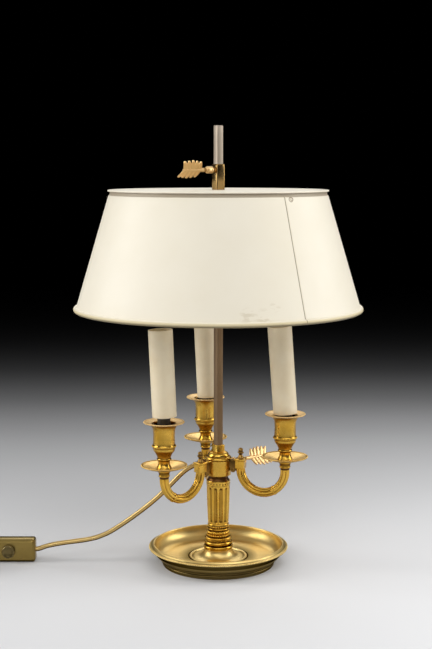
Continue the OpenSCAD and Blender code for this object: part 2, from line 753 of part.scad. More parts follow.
module shade_cap() {
    bead_c = shade_top_r - 1;
    plate_z = cap_z + cap_bead_r - sheet_t / 2;
    color(cream) difference() {
        rotate_extrude() {
            square_at = [0, plate_z];
            translate(square_at) square([bead_c, sheet_t]);
            difference() {
                translate([bead_c, cap_z + cap_bead_r]) circle(r = cap_bead_r);
                translate([0, cap_z - 1]) square([shade_top_r - 1.6, 1.2]);
            }
        }
        bar(sleeve_w + 0.1, plate_z - 1, plate_z + sheet_t + 1);
        for (q = [0:3]) rotate([0, 0, rod_turn + 45 + 90 * q])
            translate([flange_plate_r * 0.7, 0, plate_z - 1]) cylinder(h = sheet_t + 2, r = 1.5);
    }
}

// Outer lap of the sheet where its two ends meet
module shade_seam() {
    drop = cone_top_z - cone_low_z;
    lean = (shade_low_r - shade_top_r) / drop;
    z0 = 2 * hem_r;
    color(cream) rotate([0, 0, seam_a]) rotate_extrude(angle = seam_turn) polygon([
        [shade_low_r - lean * z0, cone_low_z + z0], [shade_low_r - lean * z0 + seam_t, cone_low_z + z0],
        [shade_top_r + lean * 0.3 + seam_t, cone_top_z - 0.3], [shade_top_r + lean * 0.3, cone_top_z - 0.3]
    ]);
}

module seam_rivet() {
    slope = atan((shade_low_r - shade_top_r) / (cone_top_z - cone_low_z));
    r = shade_top_r + rivet_down * tan(slope) + seam_t;
    color(cream) rotate([0, 0, rivet_a]) translate([r, 0, cone_top_z - rivet_down]) rotate([0, 90 - slope, 0])
        turned([[0, 0], [rivet_r, 0], [rivet_r, 0.3], [rivet_r * 0.75, 0.8], [0, 1]]);
}

module shade_sleeve() {
    color(gold) difference() {
        union() {
            bar(sleeve_w, sleeve_low, sleeve_top);
            translate([0, 0, flange_plate_z]) cylinder(h = flange_plate_t, r = flange_plate_r);
        }
        bar(slot_w, sleeve_low - eps, sleeve_top + eps);
        radial(rod_turn + 180, shade_key_z) cylinder(h = sleeve_w, r = key_shank_r + screw_play);
        for (q = [0:3]) rotate([0, 0, rod_turn + 45 + 90 * q])
            translate([flange_plate_r * 0.7, 0, flange_plate_z - 1])
                cylinder(h = flange_plate_t + 2, r = 1.5);
    }
}

module flange_rivets() {
    color(gold) for (q = [0:3]) rotate([0, 0, rod_turn + 45 + 90 * q])
        translate([flange_plate_r * 0.7, 0, flange_plate_z]) {
            cylinder(h = flange_plate_t + sheet_t, r = 1.5);
            translate([0, 0, -0.8]) cylinder(h = 0.8, r1 = 1.8, r2 = 2.6);
        }
}

module shade_key() {
    color(gold) radial(rod_turn + 180, shade_key_z)
        arrow_key(rod_w / 2 + rod_play / 2, sleeve_w / 2, shade_key_gap, shade_key_reach);
}

// ---------------------------------------------------------------- flex, switch and plug

module cord_lead() color(flex_gold) tube(lead_route, cord_r);

module cord_feed() color(flex_gold) tube(feed_route, cord_r);

module cord_tail() color(flex_gold) tube(tail_route, cord_r);

module cord_coil() {
    color(flex_gold) translate([coil_at[0], coil_at[1], 0]) rotate_extrude()
        translate([coil_in, 0]) square([coil_out - coil_in, coil_h]);
}

// Rectangle w by h about the origin with its corners cut by c
module cut_rect(w, h, c) polygon([
    [-w / 2 + c, -h / 2], [w / 2 - c, -h / 2], [w / 2, -h / 2 + c], [w / 2, h / 2 - c],
    [w / 2 - c, h / 2], [-w / 2 + c, h / 2], [-w / 2, h / 2 - c], [-w / 2, -h / 2 + c]
]);

// Bevelled block of the switch, centred on the origin
module switch_block(l, w, h, c) intersection() {
    rotate([90, 0, 0]) translate([0, 0, -w]) linear_extrude(2 * w) cut_rect(l, h, c);
    translate([0, 0, -h]) linear_extrude(2 * h) cut_rect(l, w, c);
    rotate([90, 0, 90]) translate([0, 0, -l]) linear_extrude(2 * l) cut_rect(w, h, c * 0.7);
}

// One half of the switch case; side is -1 for the front and 1 for the back
module switch_half(side) {
    t = 2 * switch_case_t;
    translate([switch_x, cord_y, switch_z]) difference() {
        switch_block(switch_l, switch_w, switch_h, 3);
        translate([-switch_l, side > 0 ? -switch_w : 0, -switch_h])
            cube([2 * switch_l, switch_w, 2 * switch_h]);
        cube([switch_l - t - 12, switch_w - t, switch_h - t], center = true);
        rotate([0, 90, 0]) cylinder(h = switch_l + 2, r = cord_r + 0.05, center = true);
    }
}

module switch_front() {
    color(flex_gold) difference() {
        switch_half(-1);
        translate([switch_x, cord_y, switch_z]) rotate([90, 0, 0])
            cylinder(h = switch_w, r = button_d / 2 + button_play);
    }
}

module switch_back() color(flex_gold) switch_half(1);

module switch_button() {
    r = button_d / 2;
    inner = switch_w / 2 - switch_case_t - 3;
    color(patina) translate([switch_x, cord_y, switch_z]) rotate([90, 0, 0]) turned([
        [0, inner], [r, inner], [r, switch_w / 2 + button_out - 0.8], [r - 0.8, switch_w / 2 + button_out],
        [r - 1.8, switch_w / 2 + button_out], [r - 3, switch_w / 2 + button_out - 0.9],
        [0, switch_w / 2 + button_out - 1.3]
    ]);
}

module plug_body() {
    color(flex_gold) translate([plug_x, plug_y, plug_t / 2]) rotate([90, 0, 0]) difference() {
        intersection() {
            union() {
                cylinder(h = plug_grip, r1 = cord_r + 1.2, r2 = plug_t / 2 - 0.8);
                translate([0, 0, plug_grip]) rotate([90, 0, 0]) translate([0, 0, -plug_t / 2])
                    linear_extrude(plug_t) polygon([
                        [-6, 0], [6, 0], [plug_w / 2, 10], [plug_w / 2, plug_l - plug_grip],
                        [-plug_w / 2, plug_l - plug_grip], [-plug_w / 2, 10]
                    ]);
            }
            translate([0, 0, -1]) linear_extrude(plug_l + 2) cut_rect(plug_w, plug_t, 3);
        }
        for (s = [-1, 1]) translate([s * pin_gap / 2, 0, plug_l - 4]) cylinder(h = 5, r = pin_r);
    }
}

module plug_pins() {
    color(steel) for (s = [-1, 1])
        translate([plug_x + s * pin_gap / 2, plug_y - plug_l + 4, plug_t / 2]) rotate([90, 0, 0])
            turned([[0, 0], [pin_r, 0], [pin_r, 3 + pin_l], [pin_r - 0.8, 4 + pin_l], [0, 4 + pin_l]]);
}

// ---------------------------------------------------------------- nodes

base_dish();
base_weight();
base_felt();
rod_nut();
column_foot();
column_shaft();
column_neck();
rod();
hub_drum();
hub_cover();
wire_joints();
cord_gland();
lamp_wires();
cluster_key();
arm(0);  // arm_back
arm(1);  // arm_left
arm(2);  // arm_right
arm_bracket(0);  // arm_bracket_back
arm_bracket(1);  // arm_bracket_left
arm_bracket(2);  // arm_bracket_right
collar(0);  // collar_back
collar(1);  // collar_left
collar(2);  // collar_right
bud(0);  // bud_back
bud(1);  // bud_left
bud(2);  // bud_right
nipple(0);  // nipple_back
nipple(1);  // nipple_left
nipple(2);  // nipple_right
under_collar(0);  // under_collar_back
under_collar(1);  // under_collar_left
under_collar(2);  // under_collar_right
drip_pan(0);  // drip_pan_back
drip_pan(1);  // drip_pan_left
drip_pan(2);  // drip_pan_right
cup(0);  // cup_back
cup(1);  // cup_left
cup(2);  // cup_right
lampholder(0);  // lampholder_back
lampholder(1);  // lampholder_left
lampholder(2);  // lampholder_right
candle(0);  // candle_back
candle(1);  // candle_left
candle(2);  // candle_right
shade_cone();
shade_cap();
shade_seam();
seam_rivet();
shade_sleeve();
flange_rivets();
shade_key();
cord_lead();
switch_front();
switch_back();
switch_button();
cord_feed();
cord_coil();
cord_tail();
plug_body();
plug_pins();
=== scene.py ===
"""Dresses the three-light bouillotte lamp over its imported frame: brass, paint, card, flex and light."""

import logging
import math
from dataclasses import dataclass, field
from enum import Enum
from typing import Callable, Optional, Sequence

import bmesh
import bpy
import numpy as np
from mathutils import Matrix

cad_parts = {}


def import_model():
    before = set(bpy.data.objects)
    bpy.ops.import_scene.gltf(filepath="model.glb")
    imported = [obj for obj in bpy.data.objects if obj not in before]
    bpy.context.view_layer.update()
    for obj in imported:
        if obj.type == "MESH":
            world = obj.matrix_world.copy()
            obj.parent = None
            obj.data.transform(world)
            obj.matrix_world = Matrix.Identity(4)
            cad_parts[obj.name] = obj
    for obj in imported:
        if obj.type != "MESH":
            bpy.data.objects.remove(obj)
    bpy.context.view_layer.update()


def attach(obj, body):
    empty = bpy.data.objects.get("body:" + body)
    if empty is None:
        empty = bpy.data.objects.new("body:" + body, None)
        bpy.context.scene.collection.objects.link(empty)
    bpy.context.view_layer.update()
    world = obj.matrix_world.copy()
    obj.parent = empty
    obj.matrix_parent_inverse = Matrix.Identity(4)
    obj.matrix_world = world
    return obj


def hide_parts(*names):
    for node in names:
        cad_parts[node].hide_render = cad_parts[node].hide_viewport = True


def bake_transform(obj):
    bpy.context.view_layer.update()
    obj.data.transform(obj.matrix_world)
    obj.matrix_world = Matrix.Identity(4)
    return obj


LOG = logging.getLogger("bouillotte_lamp")
Array = np.ndarray
Piece = bpy.types.Object
Material = bpy.types.Material
Socket = bpy.types.NodeSocket
Colour = tuple[float, float, float]
#: Mm to add to a turned piece's radius, from its radius, height and bearing.
Swell = Callable[[Array, Array, Array], Array]
#: Metres in a millimetre.
MM = 0.001
#: Stored hollow value at which patina and painted shade are full.
HOLLOW_FULL = 0.06
#: Share that marks paler metal, from wear and painted highlight, far below any curvature.
RUBBED_AND_LIT = -1000.0
#: Edges bent less than this many degrees are shaded smooth on most pieces, and on beads and ropes.
SOFT_BEND = 36.0
BEAD_BEND = 70.0


@dataclass(frozen=True)
class ArmPose:
    """How one candle arm stands: bearing and lean in degrees, the rest in mm."""

    label: str
    bearing: float
    drop: float
    rise: float
    gap: float
    shift: float
    lean: float

    @property
    def lift(self) -> float:
        """How far the arm's fittings stand above those of a level arm."""
        return self.rise - self.drop

    @property
    def clear(self) -> bool:
        """Whether the candle stands well above its cup, so that the dark mouth shows."""
        return self.gap > 3.0


class Arm(Enum):
    """The candle arms: one points back, the others to the front left and right."""

    BACK = ArmPose("back", 101.0, drop=0.0, rise=2.4, gap=2.0, shift=3.5, lean=2.6)
    LEFT = ArmPose("left", 221.0, drop=2.4, rise=0.8, gap=5.0, shift=0.7, lean=2.5)
    RIGHT = ArmPose("right", 341.0, drop=0.0, rise=2.2, gap=2.0, shift=-0.1, lean=4.1)


@dataclass(frozen=True)
class Sizes:
    """The lamp's shared sizes in mm, the same as those of its solids."""

    rod_turn: float = 35.0
    rod_w: float = 7.4
    lamp_h: float = 482.0
    boss_z: float = 17.0
    shaft_z: float = 45.5
    band_z: float = 89.0
    neck_z: float = 94.6
    hub_z: float = 100.5
    hub_top: float = 117.5
    hub_r: float = 14.1
    hub_key_down: float = 4.2
    flex_bearing: float = 165.0
    flex_down: float = 4.1
    flex_droop: float = 20.0
    arm_z: float = 109.5
    arm_reach: float = 76.5
    root_r: float = 26.0
    bend_r: float = 25.25
    under_z: float = 111.9
    pan_z: float = 119.5
    cup_z: float = 120.9
    cup_h: float = 51.0
    flange_r: float = 22.0
    candle_r: float = 13.0
    candle_l: float = 93.0
    shade_z: float = 283.0
    cap_z: float = 411.2
    shade_low_r: float = 154.4
    shade_top_r: float = 118.0
    seam_bearing: float = 304.0
    sleeve_w: float = 10.2
    sleeve_low: float = 405.7
    sleeve_top: float = 441.0
    sleeve_key_down: float = 6.2

    @property
    def hub_key_z(self) -> float:
        """Height of the cluster key's axis."""
        return self.hub_top - self.hub_key_down

    @property
    def sleeve_key_z(self) -> float:
        """Height of the shade key's axis."""
        return self.sleeve_top - self.sleeve_key_down

    @property
    def cup_floor(self) -> float:
        """Height of the candle cup's inner floor."""
        return self.cup_z + 0.43 * self.cup_h

    @property
    def flange_z(self) -> float:
        """Height of the candle cup's flange."""
        return self.cup_z + self.cup_h


SIZES = Sizes()


# ---------------------------------------------------------------- lines and outlines


def arc(centre: Sequence[float], radius: float, start: float, stop: float, count: int = 8) -> Array:
    """Points on a circle: the centre plus radius times the cosine and sine of evenly spaced angles.

    Args:
        centre: The circle's centre.
        radius: Its radius.
        start: First angle in degrees.
        stop: Last angle in degrees.
        count: How many points.

    Returns:
        Array of count points in two columns.
    """
    angle = np.radians(np.linspace(start, stop, count))
    return np.column_stack((centre[0] + radius * np.cos(angle), centre[1] + radius * np.sin(angle)))


def chain(*parts: object) -> Array:
    """Joins points and runs of points into one line, in the order given."""
    return np.vstack([np.atleast_2d(np.asarray(part, float)) for part in parts])


def soft_line(points: Sequence[Sequence[float]], steps: int = 6) -> Array:
    """Smooth line through points.

    Each span is the cubic whose ends are two neighbouring points and whose slopes there are half the
    difference of the points on either side.

    Args:
        points: The points to pass through.
        steps: How many pieces each span is cut into.

    Returns:
        The points of the line.
    """
    p = np.asarray(points, float)
    p = np.vstack((2 * p[0] - p[1], p, 2 * p[-1] - p[-2]))
    a, b, c, d = p[:-3, None], p[1:-2, None], p[2:-1, None], p[3:, None]
    t = np.linspace(0, 1, steps, endpoint=False)[None, :, None]
    line = 0.5 * (2 * b + (c - a) * t + (2 * a - 5 * b + 4 * c - d) * t**2 + (3 * b - a - 3 * c + d) * t**3)
    return np.vstack((line.reshape(-1, p.shape[1]), p[-2]))


def run_along(points: Array) -> Array:
    """Length of a line up to each of its points."""
    return np.concatenate(([0.0], np.cumsum(np.linalg.norm(np.diff(points, axis=0), axis=1))))


def even_line(points: Array, pitch: float) -> Array:
    """The same line with its points a pitch apart, found by interpolation along its length.

    Args:
        points: The line's points.
        pitch: The distance to keep between points, to within what divides the length evenly.

    Returns:
        The new points.
    """
    run = run_along(points)
    at = np.linspace(0, run[-1], max(2, int(round(run[-1] / pitch)) + 1))
    return np.column_stack([np.interp(at, run, column) for column in points.T])


def line_length(points: Array) -> float:
    """Sum of the distances from point to point."""
    return float(run_along(points)[-1])


def rounded_box(width: float, height: float, corner: float, count: int = 4) -> Array:
    """Outline of a rectangle about the origin whose corners are quarter circles.

    Args:
        width: Its whole width.
        height: Its whole height.
        corner: Radius of the corners.
        count: How many points a corner has.

    Returns:
        The outline's points.
    """
    w, h = width / 2 - corner, height / 2 - corner
    return chain(
        arc((w, h), corner, 0, 90, count),
        arc((-w, h), corner, 90, 180, count),
        arc((-w, -h), corner, 180, 270, count),
        arc((w, -h), corner, 270, 360, count),
    )


def bearings(count: int) -> Array:
    """Evenly spaced angles of one full turn, in radians."""
    return np.linspace(0, 2 * np.pi, count, endpoint=False)


def circle(count: int) -> Array:
    """Evenly spaced points round the unit circle."""
    return np.column_stack((np.cos(bearings(count)), np.sin(bearings(count))))


def polar(radius: Array, angle: Array, height: Array) -> Array:
    """Grid of points: the radius times the cosine and the sine of the angle, and the height."""
    return np.stack(np.broadcast_arrays(radius * np.cos(angle), radius * np.sin(angle), height), -1)


def lifted(rings: Array, heights: Sequence[float]) -> Array:
    """Flat rings of points, each set at its own height."""
    level = np.broadcast_to(np.asarray(heights, float)[:, None, None], rings.shape[:2] + (1,))
    return np.concatenate((rings, level), -1)


# ---------------------------------------------------------------- places


def shift(x: float = 0.0, y: float = 0.0, z: float = 0.0) -> Array:
    """Matrix that moves points.

    Args:
        x: How far along X.
        y: How far along Y.
        z: How far along Z.

    Returns:
        The four by four matrix.
    """
    made = np.eye(4)
    made[:3, 3] = (x, y, z)
    return made


def turn(axis: str, degrees: float) -> Array:
    """Matrix that turns points about an axis by the right-hand rule.

    Args:
        axis: "x", "y" or "z".
        degrees: How far.

    Returns:
        The four by four matrix.
    """
    c, s = math.cos(math.radians(degrees)), math.sin(math.radians(degrees))
    first, second = {"x": (1, 2), "y": (2, 0), "z": (0, 1)}[axis]
    made = np.eye(4)
    made[first, first] = made[second, second] = c
    made[first, second], made[second, first] = -s, s
    return made


def placed(points: Array, place: Optional[Array]) -> Array:
    """Points carried by a matrix, or left alone when there is none.

    Args:
        points: Points of any grid shape.
        place: The matrix.

    Returns:
        The points in their place.
    """
    if place is None:
        return points
    return points @ place[:3, :3].T + place[:3, 3]


def outward(bearing: float, height: float) -> Array:
    """Matrix that stands a piece built along +Z on the lamp's axis at a height, pointing out at a bearing."""
    return shift(z=height) @ turn("z", bearing) @ turn("y", 90)


# ---------------------------------------------------------------- meshes


def pull(items: object, key: str, width: int = 1, kind: type = float) -> Array:
    """Reads one value of every item of a mesh's list.

    Args:
        items: The mesh's vertices, edges or another of its lists.
        key: The value's name.
        width: How many numbers it has.
        kind: Their type.

    Returns:
        The values as rows.
    """
    values = np.empty(len(items) * width, kind)
    items.foreach_get(key, values)
    return values.reshape(-1, width)


def mark_hollows(mesh: bpy.types.Mesh, passes: int = 3) -> None:
    """Stores how hollow the surface is at each point, for patina, painted shade and wear.

    The value is how far the mean of a point's neighbours stands off along its normal, over the mean edge
    length there, averaged over the neighbours a few times. It is above 0 in a groove and below on a ridge.

    Args:
        mesh: The finished mesh.
        passes: How many times the value is averaged.
    """
    count = len(mesh.vertices)
    place, normal = pull(mesh.vertices, "co", 3), pull(mesh.vertex_normals, "vector", 3)
    a, b = pull(mesh.edges, "vertices", 2, int).T

    def gather(at_a: Array, at_b: Array) -> Array:
        """Sum over each point's edges: one value where it is an edge's first end, one where its second."""
        return np.bincount(a, at_a, count) + np.bincount(b, at_b, count)

    near = np.maximum(gather(np.ones(len(a)), np.ones(len(b))), 1)

    def mean(value: Array) -> Array:
        """Mean over each point's neighbours."""
        return gather(value[b], value[a]) / near

    offset = np.column_stack([mean(column) for column in place.T]) - place
    length = np.linalg.norm(place[a] - place[b], axis=1)
    hollow = (offset * normal).sum(1) / np.maximum(gather(length, length) / near, 1e-9)
    for _ in range(passes):
        hollow = 0.5 * hollow + 0.5 * mean(hollow)
    stored = mesh.attributes.new("hollow", "FLOAT", "POINT")
    stored.data.foreach_set("value", hollow.astype(np.float32))


def soil_and_shade(piece: Piece, share: Callable[[Array, Array], Array], place: Optional[Array] = None) -> None:
    """Raises the stored hollow value where patina gathers and where shade is painted.

    The value at a point becomes the greater of its own and HOLLOW_FULL times a share of the point's radius
    and height. A share below zero is stored as it is and marks paler metal, from wear and painted highlight.

    Args:
        piece: The finished mesh.
        share: Gives 0 to 1, or the share for paler metal, at radius and height in mm.
        place: Matrix that carried the piece to its place.
    """
    back = None if place is None else np.linalg.inv(place)
    points = placed(pull(piece.data.vertices, "co", 3) / MM, back)
    stored = piece.data.attributes["hollow"].data
    raised = HOLLOW_FULL * share(np.hypot(points[:, 0], points[:, 1]), points[:, 2])
    value = np.where(raised < 0, raised, np.maximum(pull(stored, "value")[:, 0], raised))
    stored.foreach_set("value", value.astype(np.float32))


def add_object(name: str, data: object) -> Piece:
    """Puts a mesh, camera or light into the scene.

    Args:
        name: The new object's name.
        data: What it shows.

    Returns:
        The new object.
    """
    made = bpy.data.objects.new(name, data)
    bpy.context.scene.collection.objects.link(made)
    return made


def shaded(piece: Piece, sharp: float) -> Piece:
    """Shades a piece smooth and marks its hollows.

    Args:
        piece: The finished mesh.
        sharp: Edges bent more than this many degrees stay sharp.

    Returns:
        The same piece.
    """
    piece.data.shade_smooth()
    piece.data.set_sharp_from_angle(angle=math.radians(sharp))
    mark_hollows(piece.data)
    return piece


def closed(piece: Piece, sharp: float) -> Piece:
    """Merges doubled points, turns faces outwards and shades the piece.

    Args:
        piece: The new mesh.
        sharp: Edges bent more than this many degrees stay sharp.

    Returns:
        The same piece.
    """
    work = bmesh.new()
    work.from_mesh(piece.data)
    bmesh.ops.remove_doubles(work, verts=work.verts, dist=2e-7)
    bmesh.ops.recalc_face_normals(work, faces=work.faces)
    work.to_mesh(piece.data)
    work.free()
    return shaded(piece, sharp)


def surface(
    name: str, points: Array, ring: bool = False, poles: bool = False, sharp: float = SOFT_BEND
) -> Piece:
    """Mesh of a grid of points in mm whose columns close into a loop.

    Args:
        name: The piece's name.
        points: Rows by columns by three.
        ring: Whether the last row joins the first.
        poles: Whether the first and last rows are closed by a point at their middle.
        sharp: Edges bent more than this many degrees stay sharp.

    Returns:
        The new object.
    """
    if poles:
        low = np.broadcast_to(points[0].mean(0), points[0].shape)
        high = np.broadcast_to(points[-1].mean(0), points[-1].shape)
        points = np.concatenate((low[None], points, high[None]))
    rows, columns, _ = points.shape
    row = np.arange(rows if ring else rows - 1)[:, None]
    column = np.arange(columns)[None, :]
    upper, after = (row + 1) % rows, (column + 1) % columns
    here, there = row * columns, upper * columns
    quads = np.stack((here + column, here + after, there + after, there + column), -1).reshape(-1, 4)
    mesh = bpy.data.meshes.new(name)
    mesh.vertices.add(rows * columns)
    mesh.vertices.foreach_set("co", (points * MM).astype(np.float32).ravel())
    mesh.loops.add(quads.size)
    mesh.loops.foreach_set("vertex_index", quads.ravel().astype(np.int32))
    mesh.polygons.add(len(quads))
    mesh.polygons.foreach_set("loop_start", np.arange(0, quads.size, 4, dtype=np.int32))
    mesh.update(calc_edges=True)
    return closed(add_object(name, mesh), sharp)


def fuse(name: str, parts: Sequence[Piece], sharp: float = SOFT_BEND) -> Piece:
    """Gathers several meshes into one piece and removes the separate ones.

    Args:
        name: The piece's name.
        parts: Meshes that surface made.
        sharp: Edges bent more than this many degrees stay sharp.

    Returns:
        The new object.
    """
    work = bmesh.new()
    for part in parts:
        old = part.data
        work.from_mesh(old)
        bpy.data.objects.remove(part)
        bpy.data.meshes.remove(old)
    mesh = bpy.data.meshes.new(name)
    work.to_mesh(mesh)
    work.free()
    mesh.attributes.remove(mesh.attributes["hollow"])
    return shaded(add_object(name, mesh), sharp)


def revolve(
    name: str,
    profile: Array,
    columns: int = 96,
    ring: bool = True,
    swell: Optional[Swell] = None,
    place: Optional[Array] = None,
    sharp: float = SOFT_BEND,
) -> Piece:
    """Turned piece: each profile point (radius, height) goes round the Z axis.

    Args:
        name: The piece's name.
        profile: Radius and height in mm.
        columns: Steps round the axis.
        ring: Whether the profile is a closed loop; otherwise it starts and ends on the axis.
        swell: Gives the mm that are added to the radius at radius, height and angle.
        place: Matrix that carries the piece to its place.
        sharp: Edges bent more than this many degrees stay sharp.

    Returns:
        The new object.
    """
    angle = bearings(columns)[None, :]
    radius, height = profile[:, :1], profile[:, 1:2]
    grown = radius + (0.0 if swell is None else swell(radius, height, angle))
    return surface(name, placed(polar(grown, angle, height), place), ring=ring, sharp=sharp)


def sweep(
    name: str,
    path: Array,
    section: Array,
    side: Optional[Sequence[float]] = None,
    place: Optional[Array] = None,
    sharp: float = SOFT_BEND,
) -> Piece:
    """A section carried along a path: path point plus section x times side plus section y times up.

    Side is given, or is the level direction square to the path, and up is square to both.

    Args:
        name: The piece's name.
        path: Points in mm.
        section: Points by two, or path points by section points by two where it changes along the way.
        side: One direction square to a path that lies in a plane.
        place: Matrix that carries the piece to its place.
        sharp: Edges bent more than this many degrees stay sharp.

    Returns:
        The new object.
    """
    ahead = np.gradient(path, axis=0)
    ahead /= np.linalg.norm(ahead, axis=1, keepdims=True)
    if side is None:
        across = np.cross(ahead, (0.0, 0.0, 1.0))
    else:
        across = np.broadcast_to(np.asarray(side, float), path.shape)
    across = across / np.linalg.norm(across, axis=1, keepdims=True)
    up = np.cross(across, ahead)
    shape = np.broadcast_to(section, (len(path),) + section.shape[-2:])
    points = path[:, None] + shape[..., :1] * across[:, None] + shape[..., 1:] * up[:, None]
    return surface(name, placed(points, place), poles=True, sharp=sharp)


def rise(
    name: str,
    outline: Array,
    levels: Sequence[Sequence[float]],
    place: Optional[Array] = None,
    sharp: float = 30.0,
) -> Piece:
    """Upright solid: at each level the outline is scaled about the axis and set at the level's height.

    Args:
        name: The piece's name.
        outline: Points in mm.
        levels: Height and scale, from the lower end to the upper.
        place: Matrix that carries the piece to its place.
        sharp: Edges bent more than this many degrees stay sharp.

    Returns:
        The new object.
    """
    height, scale = np.asarray(levels, float).T
    points = lifted(outline[None] * scale[:, None, None], height)
    return surface(name, placed(points, place), poles=True, sharp=sharp)


def ring_tube(radius: float, height: float, thick: Array, angle: Array, sides: int) -> Array:
    """Ring about the axis: radius plus thickness times the cosine of the turn round it, height plus its sine.

    Args:
        radius: Radius of the ring's middle line.
        height: Its height.
        thick: Thickness, as a grid of turns by bearings.
        angle: Bearings of the columns.
        sides: Steps of the turn round the ring.

    Returns:
        The grid of points.
    """
    around = bearings(sides)[:, None]
    return polar(radius + thick * np.cos(around), angle[None, :], height + thick * np.sin(around))


def bead_string(
    name: str, radius: float, height: float, bead: float, count: int, place: Optional[Array] = None
) -> Piece:
    """Row of beads round the axis, as one ring.

    The ring's thickness is the bead's radius times the root of one minus the squared distance from the
    bead's middle, never less than a third of it.

    Args:
        name: The piece's name.
        radius: Radius of the ring's middle line.
        height: Its height.
        bead: Radius of a bead.
        count: How many beads.
        place: Matrix that carries the piece to its place.

    Returns:
        The new object.
    """
    steps, sides, waist = 6, 8, 0.33
    angle = bearings(count * steps)
    off = 2 * ((angle * count / (2 * np.pi)) % 1.0) - 1
    thick = bead * np.maximum(np.sqrt(np.maximum(1 - off**2, 0)), waist)
    points = ring_tube(radius, height, thick[None, :], angle, sides)
    return surface(name, placed(points, place), ring=True, sharp=BEAD_BEND)


def rope_ring(name: str, radius: float, height: float, thick: float, twists: int) -> Piece:
    """Twisted rope round the axis.

    Its thickness grows with the cosine of half the sum of twice the turn round it and twists times the
    bearing.

    Args:
        name: The piece's name.
        radius: Radius of the rope's middle line.
        height: Its height.
        thick: Its thickness on a strand.
        twists: How many strands are counted round the ring.

    Returns:
        The new object.
    """
    sides, groove = 14, 0.28
    angle = bearings(twists * sides)
    lobes = np.abs(np.cos((2 * bearings(sides)[:, None] + twists * angle[None, :]) / 2)) ** 0.7
    points = ring_tube(radius, height, thick * (1 - groove + groove * lobes), angle, sides)
    return surface(name, points, ring=True, sharp=BEAD_BEND)


# ---------------------------------------------------------------- finishes


class Graph:
    """A material's nodes, with one method for each kind that the finishes use."""

    def __init__(self, name: str) -> None:
        """Starts a material with its shader.

        Args:
            name: The material's name.
        """
        self.material = bpy.data.materials.new(name)
        self.material.use_nodes = True
        self.tree = self.material.node_tree
        self.shader = self.tree.nodes["Principled BSDF"]
        self.place = self.tree.nodes.new("ShaderNodeTexCoord").outputs["Object"]

    def feed(self, socket: Socket, value: object) -> None:
        """Links a socket to a socket, or gives it a plain value.

        Args:
            socket: The input to fill.
            value: Another node's output, or a number, colour or vector.
        """
        if isinstance(value, Socket):
            self.tree.links.new(value, socket)
        else:
            socket.default_value = value

    def put(self, kind: str, **inputs: object) -> bpy.types.Node:
        """Adds a node and fills its inputs.

        Args:
            kind: The node's type.
            inputs: Values or sockets by the input's name, with _ for a space.

        Returns:
            The node.
        """
        node = self.tree.nodes.new(kind)
        for key, value in inputs.items():
            self.feed(node.inputs[key.replace("_", " ")], value)
        return node

    def noise(self, scale: float, detail: float = 3.0, stretch: Sequence[float] = (1, 1, 1)) -> Socket:
        """Cloudy noise from 0 to 1 on the object's own coordinates.

        Args:
            scale: Clouds per metre.
            detail: How many finer layers it has.
            stretch: Scale along X, Y and Z.

        Returns:
            The noise.
        """
        mapped = self.put("ShaderNodeMapping", Vector=self.place, Scale=tuple(stretch)).outputs["Vector"]
        return self.put(
            "ShaderNodeTexNoise", Vector=mapped, Scale=scale, Detail=detail, Roughness=0.55
        ).outputs["Fac"]

    def along(self, axis: str) -> Socket:
        """The object's own coordinate along X, Y or Z, in metres."""
        return self.put("ShaderNodeSeparateXYZ", Vector=self.place).outputs[axis]

    def against(self, kind: str, vector: Sequence[float]) -> Socket:
        """Compares the object's own coordinates with a vector.

        Args:
            kind: "DISTANCE" or "DOT_PRODUCT".
            vector: A point or a direction, in metres.

        Returns:
            The distance or the product.
        """
        node = self.put("ShaderNodeVectorMath", Vector=self.place)
        node.operation = kind
        node.inputs[1].default_value = tuple(vector)
        return node.outputs["Value"]

    def upward(self) -> Socket:
        """How far the surface faces up, from -1 to 1."""
        normal = self.tree.nodes.new("ShaderNodeNewGeometry").outputs["Normal"]
        return self.put("ShaderNodeSeparateXYZ", Vector=normal).outputs["Z"]

    def hollow(self) -> Socket:
        """How hollow the surface is at a point, as mark_hollows stored it, with the patina and painted shade
        that soil added.

        Returns:
            The stored value.
        """
        node = self.tree.nodes.new("ShaderNodeAttribute")
        node.attribute_name = "hollow"
        return node.outputs["Fac"]

    def span(self, value: Socket, low: float, high: float, to_low: float, to_high: float) -> Socket:
        """Carries a value from one range to another, held at the ends.

        Args:
            value: The value.
            low: Start of its range.
            high: End of its range.
            to_low: Start of the new range.
            to_high: End of the new range.

        Returns:
            The new value.
        """
        ends = {"From_Min": low, "From_Max": high, "To_Min": to_low, "To_Max": to_high}
        return self.put("ShaderNodeMapRange", Value=value, **ends).outputs["Result"]

    def blend(self, share: object, first: object, second: object) -> Socket:
        """Mixes two colours.

        Args:
            share: The second colour's share, from 0 to 1.
            first: One colour.
            second: The other.

        Returns:
            The mixed colour.
        """
        node = self.tree.nodes.new("ShaderNodeMix")
        node.data_type = "RGBA"
        for index, value in ((0, share), (6, first), (7, second)):
            self.feed(node.inputs[index], value)
        return node.outputs[2]

    def math(self, kind: str, first: object, *others: object) -> Socket:
        """Carries a sum, product or other operation through all the values.

        Args:
            kind: The operation.
            first: The first value.
            others: The values that follow.

        Returns:
            The result.
        """
        for other in others:
            node = self.tree.nodes.new("ShaderNodeMath")
            node.operation = kind
            self.feed(node.inputs[0], first)
            self.feed(node.inputs[1], other)
            first = node.outputs[0]
        return first

    def relief(self, height: Socket, strength: float, depth: float) -> None:
        """Gives the shader a bumped normal.

        Args:
            height: The relief's height.
            strength: How much of it shows.
            depth: Its depth in metres.
        """
        bump = self.put("ShaderNodeBump", Height=height, Strength=strength, Distance=depth)
        self.feed(self.shader.inputs["Normal"], bump.outputs["Normal"])

    def set(self, **inputs: object) -> None:
        """Fills the shader's own inputs by name, with _ for a space."""
        for key, value in inputs.items():
            self.feed(self.shader.inputs[key.replace("_", " ")], value)


def rgba(red: float, green: float, blue: float) -> tuple[float, float, float, float]:
    """Opaque colour."""
    return (red, green, blue, 1.0)


